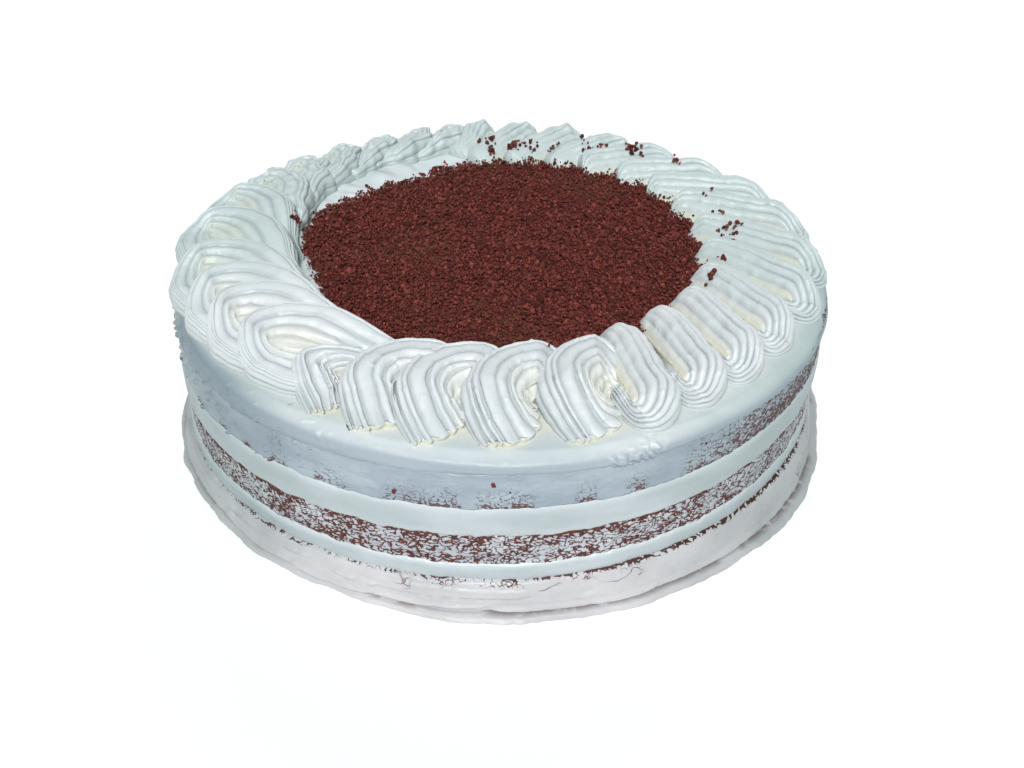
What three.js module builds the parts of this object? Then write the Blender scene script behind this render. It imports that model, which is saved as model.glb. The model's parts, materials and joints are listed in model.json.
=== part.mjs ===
// A red velvet cake: three sponge layers, two cream fillings, an iced top with a ring of
// piped swirls, a bed of crumbs inside the ring and a coat of cream round the foot.
// Millimetres, +Z up, origin at the middle of the underside, front of the cake towards -Y.

import * as THREE from 'three';

// Driving dimensions.
const cake = { radius: 122, icedHeight: 61, gap: 0.3, segments: 44 };

// Heights of the joints between the layers at the front, and how much they climb to +X.
const joints = { coatTop: 12.5, lowerCream: 17.5, upperCream: 30.5, topSponge: 42, icing: 55.8 };
const jointClimb = 3.5;

// How far each layer's side stands in (-) or out (+) from the cake's radius.
const sides = { sponge: -1, spongeBottom: -2, upperCream: -0.2, lowerCream: 0.4, icing: 0 };
const rim = { round: 5, dropShare: 0.45, undercut: 0.6, steps: 3 };
const coat = { inner: 120.4, topRadius: 123.4, bellyRadius: 125.6, foot: 128.2, footDrift: 1.8 };

const crumbs = {
  radius: 78,
  centreX: 5,
  centreY: 7,
  edgeHeight: 1.6,
  middleHeight: 7,
  bump: 0.9,
  segments: 36,
  rings: 9,
  clearOfSwirls: 0.8
};

// One piped swirl. Its height is over the iced top, its ridges run in nested curves round
// a hollow, and its profile bulges at the foot and climbs a steep flank to the crest.
const swirl = {
  segments: 15,
  ridges: 5,
  grooveDepth: 1.1,
  flank: 0.34,
  flankEnd: 0.42,
  footInset: 0.04,
  hollow: 0.48,
  dishBend: 1.4,
  hollowPull: 0.7,
  middleShare: 0.4,
  tipDrop: 0.45,
  endDrop: 0.28,
  cutLean: 0.03,
  clearOfNext: 1.2,
  hollowClear: 2.4,
  outlineSteps: 96
};

// Outlines of the swirls by style, seen from above, as [across, out] points: across is
// millimetres sideways to the side where the swirl opens, out is the distance from the
// cake's axis. The hollow is the line that the ridges run round. A torn end is cut off
// outside a circle [across, out, radius].
const styles = {
  crescent: {
    outline: [[21, 71], [12, 72.5], [2, 77.5], [-5.5, 86], [-9.2, 95], [-9, 103], [-5, 112],
      [1, 122], [10, 131], [22, 132], [32, 120], [34, 100], [30, 82]],
    hollow: [[11, 94.5], [16, 84]],
    torn: [1, 102.5, 14.5]
  },
  loop: {
    outline: [[24, 70], [11.5, 74.5], [-2, 77], [-15, 81.5], [-25, 90], [-28.5, 100], [-26, 109],
      [-19, 116], [-9, 120], [2, 118.5], [13, 112], [21, 101], [26, 86]],
    hollow: [[-8.5, 107.5], [10, 92]],
    torn: null
  },
  drop: {
    outline: [[-12, 73], [-17, 74], [-20, 81], [-18.5, 91], [-15.5, 103], [-14, 110], [-8.5, 116],
      [-1, 118.5], [4.5, 115.5], [6, 109], [4.5, 100], [0, 90], [-6, 80]],
    hollow: [[1, 107], [-8, 86]],
    torn: null
  }
};

// The swirls were piped in two runs from the back to the front, one round each side, and
// each swirl lies over the one before it. The columns are azimuth in degrees, style, width
// against the style's, inner and outer end from the axis, lean of the inner end, height.
const leftRun = [
  [111, 'loop', 0.56, 80, 112, 0, 12.5],
  [120, 'loop', 0.62, 80, 113, 2, 12.5],
  [130, 'loop', 0.64, 79, 113, 2, 12.5],
  [140, 'loop', 0.64, 78, 116, 2, 12],
  [151, 'loop', 0.66, 76, 117, 2, 12.5],
  [161, 'loop', 0.66, 75, 118, 2, 12.5],
  [171, 'loop', 0.7, 74, 120, 2, 13],
  [185, 'loop', 0.85, 73, 121.5, 2, 13.5],
  [201, 'loop', 0.92, 72, 121, 2, 14],
  [212, 'loop', 0.95, 71, 119, 1, 14],
  [222.5, 'loop', 1, 72, 121.5, -3, 14],
  [232, 'loop', 1, 71, 120, 0, 13.5],
  [236, 'crescent', 0.85, 87, 115.5, 0, 11.5],
  [247, 'crescent', 1, 74, 119, 0, 13],
  [257, 'crescent', 1, 72, 119, 0, 13],
  [270, 'crescent', 1, 71, 118, 0, 13],
  [284, 'crescent', 0.94, 72, 117, 0, 13]
];
const rightRun = [
  [94, 'drop', 0.6, 84, 112, 0, 12.5],
  [82, 'drop', 1.2, 80, 114, -7, 12.5],
  [70.5, 'drop', 1.2, 79, 115, -8, 12.5],
  [58.5, 'drop', 1.2, 79, 116, -8, 12.5],
  [46.5, 'drop', 1.25, 78, 117, -9, 13],
  [33.5, 'drop', 1.25, 78, 119, -10, 13.5],
  [20.5, 'drop', 1.3, 77, 121, -10, 14],
  [8.5, 'drop', 1.3, 77, 122, -10, 14],
  [-5.5, 'drop', 1.25, 76, 121.5, -9, 14],
  [-18.5, 'drop', 1.2, 75, 120, -8, 14],
  [-31.5, 'drop', 1.15, 74, 117, -7, 14],
  [-43.5, 'drop', 1.1, 73, 116, -5, 13.5],
  [-54, 'drop', 1.05, 72, 116, -1, 13.5],
  [-65, 'drop', 1, 72, 119, 3, 13.5]
];

const finishes = {
  sponge: { color: 0x6b2a26, roughness: 0.95, metalness: 0 },
  cream: { color: 0xdfe6e8, roughness: 0.45, metalness: 0 },
  coat: { color: 0xd9dadd, roughness: 0.5, metalness: 0 },
  crumb: { color: 0x5a302b, roughness: 1, metalness: 0 }
};

const turn = 2 * Math.PI;
const radians = (degrees) => degrees * Math.PI / 180;
const mix = (from, to, share) => from + (to - from) * share;
const clamp = (value, low, high) => Math.min(Math.max(value, low), high);

// The cake is iced by hand, so its side wanders in and out a little.
function sideWander(azimuth) {
  return 0.45 * Math.sin(2 * azimuth + 0.7) + 0.3 * Math.sin(5 * azimuth + 2.1);
}

// A point at a radius, azimuth and height on a layer. climbs is 1 on a joint that tilts.
function layerPoint(radius, azimuth, height, climbs) {
  const reach = radius + sideWander(azimuth) * radius / cake.radius;
  const x = reach * Math.cos(azimuth);
  const y = reach * Math.sin(azimuth);
  return new THREE.Vector3(x, y, height + climbs * jointClimb * x / cake.radius);
}

// A closed body from a grid of points. Rows run from the middle of the underside outwards,
// up and back to the middle of the top, where the first and last row are one point each.
// A ring-shaped body has no such points, and its last row meets its first.
function bodyFromGrid(rows, columns, place, isRing) {
  const points = [];
  const faces = [];
  const rowStart = [];
  for (let row = 0; row < rows; row += 1) {
    const isPole = !isRing && (row === 0 || row === rows - 1);
    rowStart.push(points.length);
    for (let column = 0; column < (isPole ? 1 : columns); column += 1) {
      points.push(place(row, column));
    }
  }
  const corner = (row, column) => {
    const turnedRow = row % rows;
    const isPole = !isRing && (turnedRow === 0 || turnedRow === rows - 1);
    return rowStart[turnedRow] + (isPole ? 0 : column % columns);
  };
  for (let row = 0; row < (isRing ? rows : rows - 1); row += 1) {
    for (let column = 0; column < columns; column += 1) {
      const here = corner(row, column);
      const beside = corner(row, column + 1);
      const above = corner(row + 1, column);
      const across = corner(row + 1, column + 1);
      if (here !== beside) {
        faces.push(here, beside, above);
      }
      if (above !== across) {
        faces.push(beside, across, above);
      }
    }
  }
  const geometry = new THREE.BufferGeometry().setFromPoints(points);
  geometry.setIndex(faces);
  return geometry;
}

// A layer's body from its section: a list of [radius, height, climbs] points.
function turnedLayer(section, isRing) {
  const place = (row, column) => {
    const [radius, height, climbs] = section[row];
    return layerPoint(radius, turn * column / cake.segments, height, climbs);
  };
  return bodyFromGrid(section.length, cake.segments, place, isRing);
}

function flatLayer(bottom, top, radius, bottomClimbs) {
  const low = bottom === 0 ? 0 : bottom + cake.gap / 2;
  const high = top - cake.gap / 2;
  const section = [
    [0, low, bottomClimbs],
    [radius, low, bottomClimbs],
    [radius, high, 1],
    [0, high, 1]
  ];
  return turnedLayer(section, false);
}

// The icing on top: its lower side follows the tilted joint, its rim is rounded.
function icingCap() {
  const radius = cake.radius + sides.icing;
  const low = joints.icing + cake.gap / 2;
  const section = [[0, low, 1], [radius - rim.undercut, low, 1]];
  for (let step = 0; step <= rim.steps; step += 1) {
    const bend = step / rim.steps * Math.PI / 2;
    const inwards = rim.round * (1 - Math.cos(bend));
    const drop = (cake.icedHeight - low) * rim.dropShare * (1 - Math.sin(bend));
    section.push([radius - inwards, cake.icedHeight - drop, 0]);
  }
  section.push([0, cake.icedHeight, 0]);
  return turnedLayer(section, false);
}

// The coat round the foot: thin at the top, a low belly, and a foot that spreads unevenly.
function footCoat() {
  const top = joints.coatTop - cake.gap;
  const section = [
    [coat.inner, 0, 0],
    [coat.foot, 0, 0],
    [coat.foot - 0.5, 1.4, 0],
    [coat.bellyRadius, top * 0.45, 0.3],
    [coat.topRadius, top * 0.85, 0.8],
    [coat.topRadius - 1.2, top, 1],
    [coat.inner, top, 1]
  ];
  const place = (row, column) => {
    const azimuth = turn * column / cake.segments;
    const [radius, height, climbs] = section[row];
    const spread = (row === 1 || row === 2) ? 1 : 0;
    const uneven = Math.cos(azimuth) + 0.35 * Math.sin(7 * azimuth) + 0.25 * Math.sin(11 * azimuth + 1);
    return layerPoint(radius + spread * coat.footDrift * uneven, azimuth, height, climbs);
  };
  return bodyFromGrid(section.length, cake.segments, place, true);
}

// A swirl's outline, hollow and torn end in the cake's own plan, from its row in a run.
function swirlPlan(row, isMirrored) {
  const [azimuth, styleName, width, inner, outer, lean, height] = row;
  const style = styles[styleName];
  const opening = isMirrored ? -1 : 1;
  const reaches = style.outline.map((point) => point[1]);
  const styleInner = Math.min(...reaches);
  const styleOuter = style.torn ? style.torn[1] + style.torn[2] : Math.max(...reaches);
  const place = ([across, out]) => {
    const share = (out - styleInner) / (styleOuter - styleInner);
    const reach = mix(inner, outer, share);
    const sideways = opening * (across * width + lean * (1 - share));
    const angle = radians(azimuth);
    return new THREE.Vector3(
      reach * Math.cos(angle) - sideways * Math.sin(angle),
      reach * Math.sin(angle) + sideways * Math.cos(angle),
      0
    );
  };
  const curve = new THREE.CatmullRomCurve3(style.outline.map(place), true, 'catmullrom');
  const hollow = style.hollow.map(place);
  const torn = style.torn && { centre: place(style.torn), radius: style.torn[2] };
  const angle = radians(azimuth);
  const towardsEdge = new THREE.Vector3(opening * Math.sin(angle), -opening * Math.cos(angle), 0);
  return { curve, hollow, torn, height, towardsEdge, isMirrored };
}

// How far along the line from start to end it first crosses a closed outline, 1 if never.
function firstCrossing(start, end, outline) {
  let nearest = 1;
  const along = end.clone().sub(start);
  outline.forEach((corner, index) => {
    const next = outline[(index + 1) % outline.length];
    const edge = next.clone().sub(corner);
    const spread = along.x * edge.y - along.y * edge.x;
    if (Math.abs(spread) > 1e-9) {
      const toCorner = corner.clone().sub(start);
      const share = (toCorner.x * edge.y - toCorner.y * edge.x) / spread;
      const onEdge = (toCorner.x * along.y - toCorner.y * along.x) / spread;
      if (share > 0 && onEdge >= 0 && onEdge <= 1) {
        nearest = Math.min(nearest, share);
      }
    }
  });
  return nearest;
}

function isInside(point, outline) {
  const corners = outline.map((corner) => new THREE.Vector2(corner.x, corner.y));
  let inside = false;
  corners.forEach((corner, index) => {
    const next = corners[(index + 1) % corners.length];
    const straddles = (corner.y > point.y) !== (next.y > point.y);
    const crossing = corner.x + (next.x - corner.x) * (point.y - corner.y) / (next.y - corner.y);
    if (straddles && point.x < crossing) {
      inside = !inside;
    }
  });
  return inside;
}

// A point of the hollow that the next swirl would bury moves out from under it.
function clearedPoint(point, towardsEdge, outline) {
  const moved = point.clone();
  const margin = towardsEdge.clone().multiplyScalar(swirl.hollowClear);
  const limit = 80;
  for (let step = 0; step < limit && isInside(moved.clone().sub(margin), outline); step += 1) {
    moved.addScaledVector(towardsEdge, 0.4);
  }
  return moved;
}

// How far along the line from start to end it leaves a torn end's circle on the outer side.
function tornCrossing(start, end, torn) {
  const along = end.clone().sub(start);
  if (along.dot(torn.centre) <= 0) {
    return 1;
  }
  const fromCentre = start.clone().sub(torn.centre);
  const a = along.dot(along);
  const b = fromCentre.dot(along);
  const c = fromCentre.dot(fromCentre) - torn.radius * torn.radius;
  const root = b * b - a * c;
  return root > 0 ? clamp((Math.sqrt(root) - b) / a, 0, 1) : 1;
}

// The swirl's section from its foot (0) to its hollow (1): the share of the way from the
// hollow to the outline, and the share of the height.
function swirlSection(share) {
  if (share < swirl.flankEnd) {
    const bend = share / swirl.flankEnd * Math.PI / 2;
    return [1 - swirl.flank * (1 - Math.cos(bend)), Math.sin(bend)];
  }
  const inside = (share - swirl.flankEnd) / (1 - swirl.flankEnd);
  return [(1 - swirl.flank) * (1 - inside), 1 - swirl.hollow * inside ** swirl.dishBend];
}

// The part of the section that is cut away where the outline stops short.
function sectionStart(cut) {
  let low = 0;
  let high = 1;
  for (let halving = 0; halving < 24; halving += 1) {
    const middle = (low + high) / 2;
    if (swirlSection(middle)[0] > cut) {
      low = middle;
    } else {
      high = middle;
    }
  }
  return low;
}

// Draws columns in until the straight edges between their ends clear whatever lies over them.
function keepEdgesClear(columns, covers) {
  const endOf = (column) => column.root.clone().lerp(column.edge, column.cut);
  const isBuried = (first, second) => [0.2, 0.4, 0.6, 0.8].some((share) => {
    const point = endOf(first).lerp(endOf(second), share);
    return covers.some((outline) => isInside(point, outline));
  });
  for (let round = 0; round < 40; round += 1) {
    columns.forEach((column, index) => {
      const next = columns[(index + 1) % columns.length];
      if (isBuried(column, next)) {
        const longer = column.cut > next.cut ? column : next;
        longer.cut *= 0.96;
      }
    });
  }
}

// One swirl's body. Each column runs from the outline in to the hollow, over ridges and
// grooves in turn, and rows that a cut takes away stand up the cut's wall instead.
function swirlBody(plan, covers) {
  const base = cake.icedHeight + cake.gap;
  const [hollowStart, hollowEnd] = plan.hollow;
  const axis = hollowEnd.clone().sub(hollowStart);
  const clearOfCovers = (point) => (covers[0] ? clearedPoint(point, plan.towardsEdge, covers[0]) : point);
  const middle = clearOfCovers(hollowStart.clone().addScaledVector(axis, swirl.middleShare));
  const outline = [];
  for (let step = 0; step < swirl.segments; step += 1) {
    outline.push(plan.curve.getPoint(step / swirl.segments));
  }
  if (plan.isMirrored) {
    outline.reverse();
  }
  const longest = Math.max(...outline.map((point) => point.distanceTo(middle)));
  const columns = outline.map((edge) => {
    const onAxis = clamp(edge.clone().sub(hollowStart).dot(axis) / axis.lengthSq() * swirl.hollowPull, 0, 1);
    const root = clearOfCovers(hollowStart.clone().addScaledVector(axis, onAxis));
    const length = edge.distanceTo(root);
    const crossing = Math.min(1, ...covers.map((outline) => firstCrossing(root, edge, outline)));
    const clear = crossing < 1 ? crossing - swirl.clearOfNext / length : 1;
    const torn = plan.torn ? tornCrossing(root, edge, plan.torn) : 1;
    const cut = clamp(Math.min(clear, torn), 0.05, 1);
    const tip = clamp((edge.distanceTo(middle) / longest - 0.5) / 0.5, 0, 1);
    const outwards = edge.clone().sub(root).normalize().dot(middle.clone().normalize());
    const drop = swirl.tipDrop * tip * tip + swirl.endDrop * Math.max(outwards, 0);
    return { edge, root, cut, height: plan.height * (1 - drop) };
  });
  keepEdgesClear(columns, covers);
  columns.forEach((column) => {
    column.start = sectionStart(column.cut);
  });
  const ridgeRows = 2 * swirl.ridges + 1;
  const rows = ridgeRows + 3;
  const shareStep = 1 / (ridgeRows - 0.4);
  const shareOf = (row) => (row - 1.5) * shareStep;
  const place = (row, columnIndex) => {
    if (row === 0) {
      return new THREE.Vector3(middle.x, middle.y, base);
    }
    if (row === rows - 1) {
      const floor = plan.height * (1 - swirl.hollow) - swirl.grooveDepth;
      return new THREE.Vector3(middle.x, middle.y, base + floor);
    }
    const column = columns[columnIndex];
    if (row === 1) {
      const foot = column.cut * (1 - swirl.footInset);
      return column.root.clone().lerp(column.edge, foot).setZ(base);
    }
    const share = shareOf(row);
    const wallRows = Math.max(Math.ceil(column.start / shareStep + 0.5), 0);
    const isWall = row - 2 < wallRows && column.cut < 1;
    const [reach, rise] = swirlSection(isWall ? column.start : share);
    if (isWall) {
      const climb = (row - 1) / (wallRows + 0.5);
      const inwards = column.cut * (1 - swirl.cutLean * climb);
      return column.root.clone().lerp(column.edge, inwards).setZ(base + climb * rise * column.height);
    }
    const dip = row % 2 === 1 ? swirl.grooveDepth * rise : 0;
    return column.root.clone().lerp(column.edge, reach).setZ(base + rise * column.height - dip);
  };
  return bodyFromGrid(rows, swirl.segments, place, false);
}

function sampledOutline(plan) {
  const outline = [];
  for (let step = 0; step < swirl.outlineSteps; step += 1) {
    outline.push(plan.curve.getPoint(step / swirl.outlineSteps));
  }
  return outline;
}

const leftPlans = leftRun.map((row) => swirlPlan(row, false));
const rightPlans = rightRun.map((row) => swirlPlan(row, true));
const plans = [...leftPlans, ...rightPlans.slice().reverse()];

// What lies over a swirl: the next one in its run. At the back, where the runs start, the
// first of the left run also lies over the first of the right one.
function coveringOutlines(index) {
  const lastLeft = leftPlans.length - 1;
  if (index <= lastLeft) {
    return [sampledOutline(plans[index + 1])];
  }
  const covers = index === lastLeft + 1 ? [] : [sampledOutline(plans[index - 1])];
  return index === plans.length - 1 ? [...covers, sampledOutline(plans[0])] : covers;
}

// How far in the swirls reach at an azimuth, so that the crumbs stop short of them.
const allOutlines = plans.map(sampledOutline);
function swirlsInnerEdge(azimuth) {
  let nearest = cake.radius;
  allOutlines.flat().forEach((point) => {
    const away = Math.abs(Math.atan2(point.y, point.x) - azimuth) % turn;
    if (Math.min(away, turn - away) < turn / crumbs.segments) {
      nearest = Math.min(nearest, Math.hypot(point.x, point.y));
    }
  });
  return nearest;
}

// The crumb bed: a low mound with a ragged edge, bumpy all over.
function crumbMound() {
  const base = cake.icedHeight + cake.gap;
  const draw = seededDraws(7);
  const rows = crumbs.rings + 3;
  const bumps = [];
  for (let count = 0; count < rows * crumbs.segments; count += 1) {
    bumps.push(draw() * 2 - 1);
  }
  const place = (row, column) => {
    const azimuth = turn * column / crumbs.segments;
    const centred = crumbs.centreX * Math.cos(azimuth) + crumbs.centreY * Math.sin(azimuth);
    const ragged = 2.5 * bumps[column];
    const free = swirlsInnerEdge(azimuth > Math.PI ? azimuth - turn : azimuth) - crumbs.clearOfSwirls;
    const edge = Math.min(crumbs.radius + centred + ragged, free);
    const share = row === 0 || row === rows - 1 ? 0 : clamp((rows - 1 - row) / (rows - 3), 0, 1);
    const height = row < 2 ? 0 : mix(crumbs.middleHeight, crumbs.edgeHeight, share ** 2.5)
      + crumbs.bump * bumps[row * crumbs.segments + column] * (row < rows - 1 ? 1 : 0);
    const reach = edge * (row === 1 ? 1 : share);
    return new THREE.Vector3(reach * Math.cos(azimuth), reach * Math.sin(azimuth), base + height);
  };
  return bodyFromGrid(rows, crumbs.segments, place, false);
}

// A repeatable run of draws between 0 and 1.
function seededDraws(seed) {
  let state = seed;
  return () => {
    state = (state * 16807) % 2147483647;
    return state / 2147483647;
  };
}

function addPiece(group, name, geometry, finish) {
  const mesh = new THREE.Mesh(geometry, new THREE.MeshStandardMaterial(finishes[finish]));
  mesh.name = name;
  group.add(mesh);
}

const wholeCake = new THREE.Group();
const sponge = cake.radius + sides.sponge;
addPiece(wholeCake, 'sponge_bottom',
  flatLayer(0, joints.coatTop, cake.radius + sides.spongeBottom, 0), 'sponge');
addPiece(wholeCake, 'filling_lower',
  flatLayer(joints.coatTop, joints.lowerCream, cake.radius + sides.lowerCream, 1), 'cream');
addPiece(wholeCake, 'sponge_middle', flatLayer(joints.lowerCream, joints.upperCream, sponge, 1), 'sponge');
addPiece(wholeCake, 'filling_upper',
  flatLayer(joints.upperCream, joints.topSponge, cake.radius + sides.upperCream, 1), 'cream');
addPiece(wholeCake, 'sponge_top', flatLayer(joints.topSponge, joints.icing, sponge, 1), 'sponge');
addPiece(wholeCake, 'icing_cap', icingCap(), 'cream');
addPiece(wholeCake, 'base_coat', footCoat(), 'coat');
addPiece(wholeCake, 'crumb_bed', crumbMound(), 'crumb');
plans.forEach((plan, index) => {
  const name = `swirl_${String(index + 1).padStart(2, '0')}`;
  addPiece(wholeCake, name, swirlBody(plan, coveringOutlines(index)), 'cream');
});

export default wholeCake;
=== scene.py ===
import json
from itertools import combinations

import bpy
import numpy as np
from mathutils import Matrix

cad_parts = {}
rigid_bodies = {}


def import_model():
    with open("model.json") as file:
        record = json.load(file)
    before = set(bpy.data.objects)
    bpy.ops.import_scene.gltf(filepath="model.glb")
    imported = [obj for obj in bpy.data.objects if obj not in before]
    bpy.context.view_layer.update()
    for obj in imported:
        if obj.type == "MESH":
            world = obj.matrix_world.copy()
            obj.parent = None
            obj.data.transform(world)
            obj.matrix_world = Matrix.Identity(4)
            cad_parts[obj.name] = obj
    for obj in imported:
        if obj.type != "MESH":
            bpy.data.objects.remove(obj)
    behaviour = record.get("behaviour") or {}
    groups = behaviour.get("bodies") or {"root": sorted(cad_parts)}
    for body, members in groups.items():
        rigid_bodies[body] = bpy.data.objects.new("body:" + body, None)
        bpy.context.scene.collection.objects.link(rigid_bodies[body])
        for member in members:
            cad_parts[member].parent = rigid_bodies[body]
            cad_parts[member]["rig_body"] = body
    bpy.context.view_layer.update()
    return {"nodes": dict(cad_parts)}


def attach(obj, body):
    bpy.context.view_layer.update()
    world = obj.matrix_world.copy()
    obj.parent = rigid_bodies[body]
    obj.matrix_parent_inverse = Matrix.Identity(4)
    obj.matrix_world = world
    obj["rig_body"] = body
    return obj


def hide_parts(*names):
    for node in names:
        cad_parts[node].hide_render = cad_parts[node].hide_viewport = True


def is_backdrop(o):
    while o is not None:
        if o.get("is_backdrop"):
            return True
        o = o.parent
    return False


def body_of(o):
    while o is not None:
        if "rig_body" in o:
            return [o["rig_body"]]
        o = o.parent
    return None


# A red velvet cake: iced layers, a ring of piped swirls and a bed of crumbs.
# Shapes are worked out in millimetres and become metres when a mesh is made.
# The origin is the middle of the underside and the front of the cake faces -Y.

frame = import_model()
metresPerMm = 0.001
print("frame loaded:", len(frame["nodes"]), "nodes")


# ---- numbers and meshes


def clip01(value):
    return np.clip(value, 0.0, 1.0)


# Smooth step: 0 below low, 1 above high, and 3t^2 - 2t^3 between.
def smoothStep(value, low, high):
    t = clip01((value - low) / (high - low))
    return t * t * (3 - 2 * t)


# A bell: e to the power of minus the distance from the centre over the width, to a power.
def bell(value, centre, width, power=2):
    return np.exp(-(np.abs((value - centre) / width) ** power))


# Points at a distance from the middle of the cake, in a direction.
def polar(reach, azimuth):
    return np.stack([reach * np.cos(azimuth), reach * np.sin(azimuth)], -1)


# Flat points raised to a height.
def raised(flat, height):
    return np.concatenate([flat, height[..., None]], -1)


# A smooth random field over points: the sum of plane waves with seeded directions and
# phases, whose lengths lie round the given wavelength. Most values are within -1 to 1.
def ripple(points, wavelength, seed, waves=22):
    rng = np.random.default_rng(seed)
    direction = rng.normal(size=(waves, points.shape[-1]))
    direction /= np.linalg.norm(direction, axis=1, keepdims=True)
    direction *= 2 * np.pi / wavelength * rng.uniform(0.6, 1.5, (waves, 1))
    phase = rng.uniform(0, 2 * np.pi, waves)
    return np.sin(points @ direction.T + phase).sum(-1) / np.sqrt(2 * waves)


# How far points are turned from the front, where less of the light falls: 0 to 1, from so
# many degrees later on, and 0 again past the unseen angle. It sets the painted side shade.
def turnedAway(points, later=0.0, unseen=140.0):
    azimuth = np.degrees(np.arctan2(points[:, 1], points[:, 0]))
    away = (azimuth + 275) % 360 - 180
    leftSide = smoothStep(-away - later, 12.0, 48.0)
    rightSide = smoothStep(away - later, 18.0, 66.0)
    return np.where(away < 0, leftSide, rightSide) * (1 - smoothStep(np.abs(away), unseen - 40, unseen))


# A mesh object from points in millimetres, quads and triangles, with values per point,
# among them how much painted side shade each point takes.
def meshPiece(name, points, quads, triangles, material, values=None):
    mesh = bpy.data.meshes.new(name)
    corners = np.concatenate([quads.ravel(), triangles.ravel()]).astype(np.int32)
    sizes = np.concatenate([np.full(len(quads), 4), np.full(len(triangles), 3)])
    starts = np.concatenate([[0], np.cumsum(sizes)[:-1]]).astype(np.int32)
    mesh.vertices.add(len(points))
    mesh.vertices.foreach_set("co", (points * metresPerMm).astype(np.float32).ravel())
    mesh.loops.add(len(corners))
    mesh.loops.foreach_set("vertex_index", corners)
    mesh.polygons.add(len(sizes))
    mesh.polygons.foreach_set("loop_start", starts)
    mesh.polygons.foreach_set("use_smooth", np.ones(len(sizes), bool))
    for key, value in {"turnShade": turnedAway(points), **(values or {})}.items():
        layer = mesh.attributes.new(key, "FLOAT", "POINT")
        layer.data.foreach_set("value", np.asarray(value, np.float32).ravel())
    mesh.update()
    mesh.validate()
    mesh.materials.append(material)
    piece = bpy.data.objects.new(name, mesh)
    bpy.context.scene.collection.objects.link(piece)
    return piece


# A closed body from a grid of rows x columns x 3 whose columns run anticlockwise round
# it. Rows run from the underside outwards, up and back in to the middle of the top, and
# a fan of triangles closes each end at a pole. A ring's last row meets its first.
def gridPiece(name, grid, lowPole, highPole, material, values=None):
    rows, columns = grid.shape[:2]
    row, column = np.meshgrid(np.arange(rows), np.arange(columns), indexing="ij")
    here = row * columns + column
    beside = row * columns + (column + 1) % columns
    points = grid.reshape(-1, 3)
    values = {key: np.asarray(value).ravel() for key, value in (values or {}).items()}
    if lowPole is None:
        above = ((row + 1) % rows) * columns + column
        across = ((row + 1) % rows) * columns + (column + 1) % columns
        quads = np.stack([here, beside, across, above], -1).reshape(-1, 4)
        return meshPiece(name, points, quads, np.zeros((0, 3), int), material, values)
    quads = np.stack([here[:-1], beside[:-1], beside[1:], here[1:]], -1).reshape(-1, 4)
    low = np.full(columns, len(points))
    high = low + 1
    triangles = np.concatenate([
        np.stack([low, beside[0], here[0]], -1),
        np.stack([here[-1], beside[-1], high], -1),
    ])
    points = np.concatenate([points, [lowPole, highPole]])
    for key, value in values.items():
        values[key] = np.concatenate([value, [value[0], value[-1]]])
    return meshPiece(name, points, quads, triangles, material, values)


# Unit normals of a grid whose columns close on themselves.
def gridNormals(grid):
    alongRow = np.roll(grid, -1, 1) - np.roll(grid, 1, 1)
    normal = np.cross(alongRow, np.gradient(grid, axis=0))
    return normal / np.maximum(np.linalg.norm(normal, axis=-1, keepdims=True), 1e-9)


# ---- shader helper


# One value or colour in a material. Sums on it add Math nodes.
class Strand:
    def __init__(self, look, socket):
        self.look = look
        self.socket = socket

    def maths(self, operation, first, second):
        return self.look.make("ShaderNodeMath", {"operation": operation}, {0: first, 1: second})

    def __add__(self, other):
        return self.maths("ADD", self, other)

    __radd__ = __add__

    def __sub__(self, other):
        return self.maths("SUBTRACT", self, other)

    def __rsub__(self, other):
        return self.maths("SUBTRACT", other, self)

    def __mul__(self, other):
        return self.maths("MULTIPLY", self, other)

    __rmul__ = __mul__

    def __abs__(self):
        return self.maths("ABSOLUTE", self, 0.0)


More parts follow.
